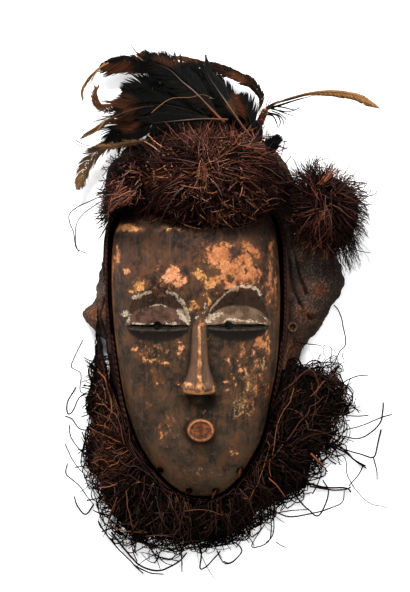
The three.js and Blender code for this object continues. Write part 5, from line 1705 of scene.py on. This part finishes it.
def make_feather(layer, name, half, widest, loose, left, right, bare, route):
    """A quill, and flat barbs that leave it on both sides, lap each other and cling together in clumps."""
    rng = np.random.default_rng(100 + layer)
    line = moved_in(smooth_line(route, 400), layer)
    covered = covered_along(line)
    length = covered[-1]

    def on_quill(share):
        return rows_at(share * length, covered, line)

    shares = np.linspace(0, 0.97, 30)
    spots = on_quill(shares)
    stem = np.column_stack([spots, crest_at(*spots.T, layer) + 0.5])[None]
    thick, own_colour = QUILLS.get(name, PLAIN_QUILL)
    thick = thick * (1 - 0.8 * shares ** 0.8)
    quill = fibres(stem, thick, {"tint": rng.uniform(), "quill": own_colour}, 6, seed=layer)
    quill[2]["run"] = np.repeat(np.linspace(0, 1, 30), 6)
    shells = [quill]
    number = int(length / 1.05)
    for side, wide in ((1, left), (-1, right)):
        share = np.clip(np.linspace(bare, 0.995, number) + rng.normal(0, 0.002, number), 0, 1)
        base = on_quill(share)
        ahead = unit(on_quill(np.clip(share + 0.02, 0, 1)) - on_quill(np.clip(share - 0.02, 0, 1)))
        out = side * np.stack([-ahead[:, 1], ahead[:, 0]], -1)
        from_bare = (share - bare) / (1 - bare)
        before = np.clip(from_bare / widest, 0, 1) ** 0.6
        after = 1 - np.clip((from_bare - widest) / (1 - widest), 0, 1) ** (1.2 + 4 * min(loose, 0.3))
        swell = np.minimum(before, after)
        along = share * length
        clump = np.floor(along / rng.uniform(6, 10) + 0.7 * lumps(along[:, None], 4, layer))
        pick = clump.astype(int) + 50
        clump_turn = rng.normal(0, 0.05 + 0.25 * loose, 400)[pick]
        clump_reach = rng.uniform(1 - 0.35 * loose, 1.06, 400)[pick]
        reach = half * wide * np.maximum(swell, 0.1) * clump_reach
        reach = reach * rng.uniform(1 - 0.3 * loose, 1.03, number)
        t = np.linspace(0, 1, 6)[None, :, None]
        forward = (1.0 + 0.8 * loose + 3.2 * np.clip(from_bare - 0.72, 0, 1))[:, None, None]
        reach = reach[:, None, None]
        run = ahead[:, None] * reach * forward * t ** 1.5
        paths = base[:, None] + out[:, None] * reach * t ** (1 - 0.2 * loose) + run
        bend = (clump_turn + rng.normal(0, 0.02 + 0.16 * loose, number))[:, None, None]
        paths = paths + out[:, None] * reach * bend * t ** 2
        lift = 0.35 * np.sin(clump * 2.3)[:, None] * t[..., 0] - 1.0 * t[..., 0] ** 2
        z = crest_at(paths[..., 0], paths[..., 1], layer) + lift + 0.15 * rng.normal(size=(number, 1))
        paths = np.concatenate([paths, z[..., None]], -1)
        radii = (1.25 - 0.75 * loose) * np.array([0.8, 1, 1, 0.95, 0.75, 0.25])
        values = {"tint": rng.random(number), "run": share}
        shells.append(fibres(paths, radii, values, 3, 0.14, seed=layer + 7, on_page=True))
    for spots, _, shown in shells:
        x, y = (spots[:, :2] + 7 * pushes(spots[:, :2], 16, 5)).T
        near = [np.hypot((x - a) / wide, (y - b) / high) for a, b, wide, high in BROWN_PLACES]
        shown["brown"] = ease(-np.min(near, axis=0), -1.25, -0.6)
    return joined(f"plume_{name}", *shells)


def plume_finish(name, root, body, tip, streak_colour, browned, rough):
    plume = Finish(name, Specular_IOR_Level=0.05)
    run, tint = plume.value("run"), plume.value("tint")
    streak = plume.noise(1.6, 3, 0.6)
    patches = plume.noise(20, 2)
    share = run + (patches - 0.5) * 0.35 + (tint - 0.5) * 0.12
    vane = plume.ramp(share, (0.1, root), (0.3, body), (0.68, body), (0.95, tip))
    brown = plume.mix(streak, browned, (browned[0] * 3, browned[1] * 2.7, browned[2] * 2.4))
    vane = plume.mix(plume.value("brown") * (0.55 + 0.45 * tint), vane, brown)
    vane = plume.mix((tint * 0.6 + streak * 0.8).step(0.8, 1.15) * 0.6, vane, streak_colour)
    shaft = plume.ramp(
        run, (0.05, (0.16, 0.045, 0.02)), (0.28, (0.1, 0.045, 0.024)), (0.45, (0.13, 0.09, 0.06)),
        (0.62, (0.05, 0.042, 0.034)), (0.9, body),
    )
    quill = plume.value("quill")
    colour = plume.mix(quill, vane, shaft)
    plume.feed(Base_Color=colour, Roughness=streak * 0.2 + rough - quill * 0.05)
    plume.bump(streak, 0.2)
    return plume


# Each colour's root, body and tip, the colour of its streaks, what it browns to, and how rough it is.
PLUME_COLOURS = {
    "black": ((0.006, 0.003, 0.002), (0.0014, 0.0012, 0.001), (0.0022, 0.0016, 0.0013),
              (0.009, 0.0078, 0.0066), (0.028, 0.0095, 0.0038), 0.42),
    "brown": ((0.003, 0.0018, 0.0013), (0.012, 0.0045, 0.002), (0.12, 0.052, 0.02),
              (0.06, 0.025, 0.01), (0.05, 0.018, 0.007), 0.5),
    "dun": ((0.003, 0.002, 0.0014), (0.07, 0.036, 0.015), (0.2, 0.105, 0.042),
            (0.18, 0.1, 0.045), (0.03, 0.012, 0.005), 0.5),
    "tan": ((0.004, 0.003, 0.002), (0.24, 0.115, 0.042), (0.42, 0.2, 0.075),
            (0.3, 0.15, 0.06), (0.15, 0.075, 0.03), 0.5),
}
PLUMES = {name: plume_finish(f"feather_{name}", *row) for name, row in PLUME_COLOURS.items()}
for layer, (name, *shape, colour, route) in enumerate(FEATHERS):
    slot = "feather_tan" if colour == "dun" else f"feather_{colour}"
    finish_piece(make_feather(layer, name, *shape, route), slot, PLUMES[colour], f"feather_{name}")

for shade in ("black", "tan"):
    shells = []
    for number, (colour, thick, *route) in enumerate(WISPS):
        if colour != shade:
            continue
        wisp_layer = 17 if number < 12 else 2
        flat = moved_in(smooth_line(route, 18), wisp_layer)
        line = np.column_stack([flat, crest_at(*flat.T, wisp_layer)])[None]
        values = {"tint": (number % 5) / 5, "run": 0.75, "quill": 0, "brown": 0}
        shells.append(fibres(line, taper(18, thick, 0.3), values, 5, 0.5, seed=number, on_page=True))
    finish_piece(joined(f"wisps_{shade}", *shells), f"feather_{shade}", PLUMES[shade])

# The stalk that the feathers are tied to, with raffia wound round it.
BINDING_ROWS = np.array([[61, 225, 6], [62, 234, 6.2], [67, 246, 5], [72, 258, 4.2], [75, 264, 3]])


def make_binding():
    rng = np.random.default_rng(61)
    rows = smooth_line(BINDING_ROWS, 60)
    line = np.column_stack([rows[:, :2], crest_at(rows[:, 0], rows[:, 1], 0) - 8.5])
    line[:, 2] = np.maximum(line[:, 2], ground_at(line[:, 0], line[:, 1]) - rows[:, 2] + 1)
    columns = np.column_stack([line, *beside(line), rows[:, 2]])
    shells = [fibres(line[None], rows[:, 2] * 0.82, {"tint": 0.3}, 12)]
    for strip in range(26):
        at = np.clip(rng.uniform(0, 0.94) + np.linspace(0, 0.06, 18), 0, 1)
        turn = (rng.uniform(0, 6.3) + np.linspace(0, rng.uniform(4, 7.5), 18))[:, None]
        here = rows_at(at, np.linspace(0, 1, 60), columns)
        reach = here[:, 9:] * 0.86 + 0.25
        path = here[:, :3] + reach * (np.cos(turn) * here[:, 3:6] + np.sin(turn) * here[:, 6:9])
        shells.append(fibres(path[None], 0.8, {"tint": rng.uniform(0.35, 1)}, 3, 0.5, seed=strip))
    return joined("binding_raffia", *shells)


finish_piece(make_binding(), "tuft_raffia", hair, "feather_binding")

# The long loose strands of the beard, those of the round tuft, and the lightest ones of the beard: how thick
# each is, and its points' x and y in turn.
LOOSE_STRANDS = [
    (0.5, -86, 178, -112, 167, -146, 149, -143, 126, -139, 108, -127, 102),
    (0.45, -92, 172, -120, 156, -138, 140, -141, 118, -137, 104),
    (0.55, 153, 44, 160, 33, 166, 2, 159, -10, 153, -23, 148, -27, 127, -28),
    (0.55, 122, -25, 136, -22, 159, -23, 164, -32), (0.6, 158, -52, 167, -42, 179, -37, 192, -36),
    (0.75, 209, -67, 207, -87, 196, -100, 180, -108, 160, -105),
    (0.6, 219, -81, 207, -84, 186, -92, 166, -99),
    (0.8, 207, -98, 202, -116, 198, -129, 183, -126, 160, -119), (0.6, 198, -129, 201, -143, 202, -155),
    (0.45, 150, -118, 166, -131, 168, -148, 180, -169, 194, -181, 213, -187),
    (0.9, 150, -112, 165, -121, 176, -132, 189, -139), (0.8, 148, -115, 166, -124, 178, -134, 190, -142),
    (0.6, 186, -139, 180, -150, 170, -162), (0.9, 124, -158, 140, -163, 166, -164, 173, -169),
    (0.8, 126, -162, 142, -165, 164, -166, 172, -163),
    (0.8, 104, -166, 114, -178, 124, -189, 136, -195, 147, -170, 140, -155),
    (0.7, 70, -184, 85, -191, 105, -196, 129, -192, 160, -182, 165, -168),
    (0.6, 60, -200, 75, -196, 99, -190, 124, -189), (0.6, 80, -185, 81, -220, 66, -231, 60, -228, 75, -205),
    (0.55, 84, -190, 84, -216, 76, -226),
    (0.7, 10, -220, 24, -225, 40, -226, 48, -234, 45, -241, 35, -249, 28, -248), (0.5, 88, -226, 99, -232),
    (0.5, -132, 4, -145, -25, -134, -34, -135, -54, -120, -58),
    (0.7, -140, -49, -150, -68, -149, -79, -144, -78, -134, -60, -112, -54),
    (0.6, -152, -83, -144, -86, -134, -97, -113, -98, -86, -102), (0.5, -152, -114, -142, -134, -130, -150),
    (0.6, -150, -136, -151, -148, -143, -155, -134, -164, -120, -183),
    (0.8, -120, -183, -129, -194, -138, -185, -142, -174),
    (0.55, -148, -92, -146, -106, -134, -122, -120, -134),
    (0.7, -115, -202, -104, -219, -90, -235, -73, -252, -64, -262), (0.7, -73, -252, -58, -259, -40, -262),
    (0.9, -100, -215, -69, -250, -44, -257, -23, -247, -14, -238), (0.6, -23, -225, -20, -240, -20, -260),
    (0.8, -10, -215, 2, -236, 2, -256, 19, -242, 24, -236), (0.35, -2, -231, 7, -250, 17, -268),
    (0.6, 20, -236, 28, -249, 37, -249, 46, -241), (0.6, -104, -28, -122, -22, -124, -38, -108, -44),
    (0.6, -100, -14, -112, -16, -126, -30, -118, -50, -104, -52),
]
POMPOM_STRANDS = [
    (0.6, 150, 170, 160, 177, 161.3, 187, 171.4, 187, 172, 183.3),
    (0.5, 156, 170, 166.3, 176.9, 174, 179.4, 185.4, 179.4, 184.1, 175.6),
    (0.5, 166, 178, 176.5, 176.9, 179, 166.7, 190.5, 171.2, 189, 168),
    (0.6, 160, 160, 174, 164.2, 186.7, 164.2, 196.8, 168, 195.5, 170.6),
    (0.6, 164, 156, 177.8, 157.9, 186.7, 155.3, 194.3, 156.6),
    (0.5, 172, 158, 184.1, 154, 185.4, 146.4, 187.9, 143.2), (0.6, 165, 140, 179, 129.9, 188.6, 119.1),
    (0.5, 160, 134, 177.8, 137.5, 185.4, 138.8), (0.5, 150, 172, 160, 188.3, 168.9, 201),
    (0.6, 116, 178, 109.2, 196, 103.5, 208), (0.6, 118, 186, 127, 199.8, 135.2, 208),
    (0.5, 122, 190, 133.3, 203.6, 144.1, 207.4), (0.5, 168, 112, 176, 104, 190, 102),
    (0.5, 160, 100, 165, 90, 168, 80),
]
BRIGHT_STRANDS = [
    (1.7, 125, -122, 131, -128, 138, -135), (1.0, 78, -149, 86, -156, 96, -170),
    (0.7, 79, -128, 78, -138, 80, -148), (1.0, -122, -93, -116, -96, -109, -100),
    (1.3, -103, -116, -97, -114, -91, -110), (0.9, -112, -160, -100, -158, -91, -155),
    (0.7, -82, -160, -79, -182, -74, -205), (0.6, 96, -66, 104, -56, 114, -50),
    (0.6, 122, -60, 130, -52, 140, -40), (0.8, -120, -132, -108, -128, -100, -134),
]


def make_strays():
    rng = np.random.default_rng(71)
    shells = []
    rows = [(1.3 * thick, 0, rng.uniform(0, 0.3), route) for thick, *route in LOOSE_STRANDS]
    rows += [(thick, 42, rng.uniform(0, 0.4), route) for thick, *route in POMPOM_STRANDS]
    rows += [(0.7 * thick, 34, rng.uniform(0.75, 1), route) for thick, *route in BRIGHT_STRANDS]
    for number, (thick, raised, tint, route) in enumerate(rows):
        steps = 3 * len(route)
        flat = smooth_line(route, steps)
        flat = flat + 0.5 * pushes(flat, 9, 51)
        arch = 2 + raised + rng.uniform(1, 6) * np.sin(math.pi * np.linspace(0, 1, steps))
        path = lifted(np.column_stack([flat, arch])[None])
        shells.append(fibres(path, taper(steps, thick, 0.75), {"tint": tint}, 5, seed=number))
    return joined("stray_strands", *shells)


finish_piece(make_strays(), "beard_raffia", beard_hair)

# The paper that the mask lies on.
floor_corners = [[-3000, -3000, -0.3], [3000, -3000, -0.3], [3000, 3000, -0.3], [-3000, 3000, -0.3]]
floor = new_piece("floor", floor_corners, [[[0, 1, 2, 3]]])
paper = Finish("paper", Roughness=0.9, Specular_IOR_Level=0.1, Emission_Strength=0.45)
paper.feed(Base_Color=paper.mix(paper.noise(60), (0.93, 0.93, 0.93), (0.95, 0.95, 0.95)))
# The paper glows like a light table, but not under the wood, whose hollow stays dark.
from_middle = paper.vector("SUBTRACT", paper.place(), tuple(SHIFT + [0, -5, 0]))
from_middle = paper.vector("LENGTH", paper.vector("DIVIDE", from_middle, (116, 182, 1e6)), output="Value")
paper.feed(Emission_Color=paper.mix(from_middle.step(0.98, 1.12), (0, 0, 0), (1, 1, 1)))
floor.data.materials.append(paper.material)
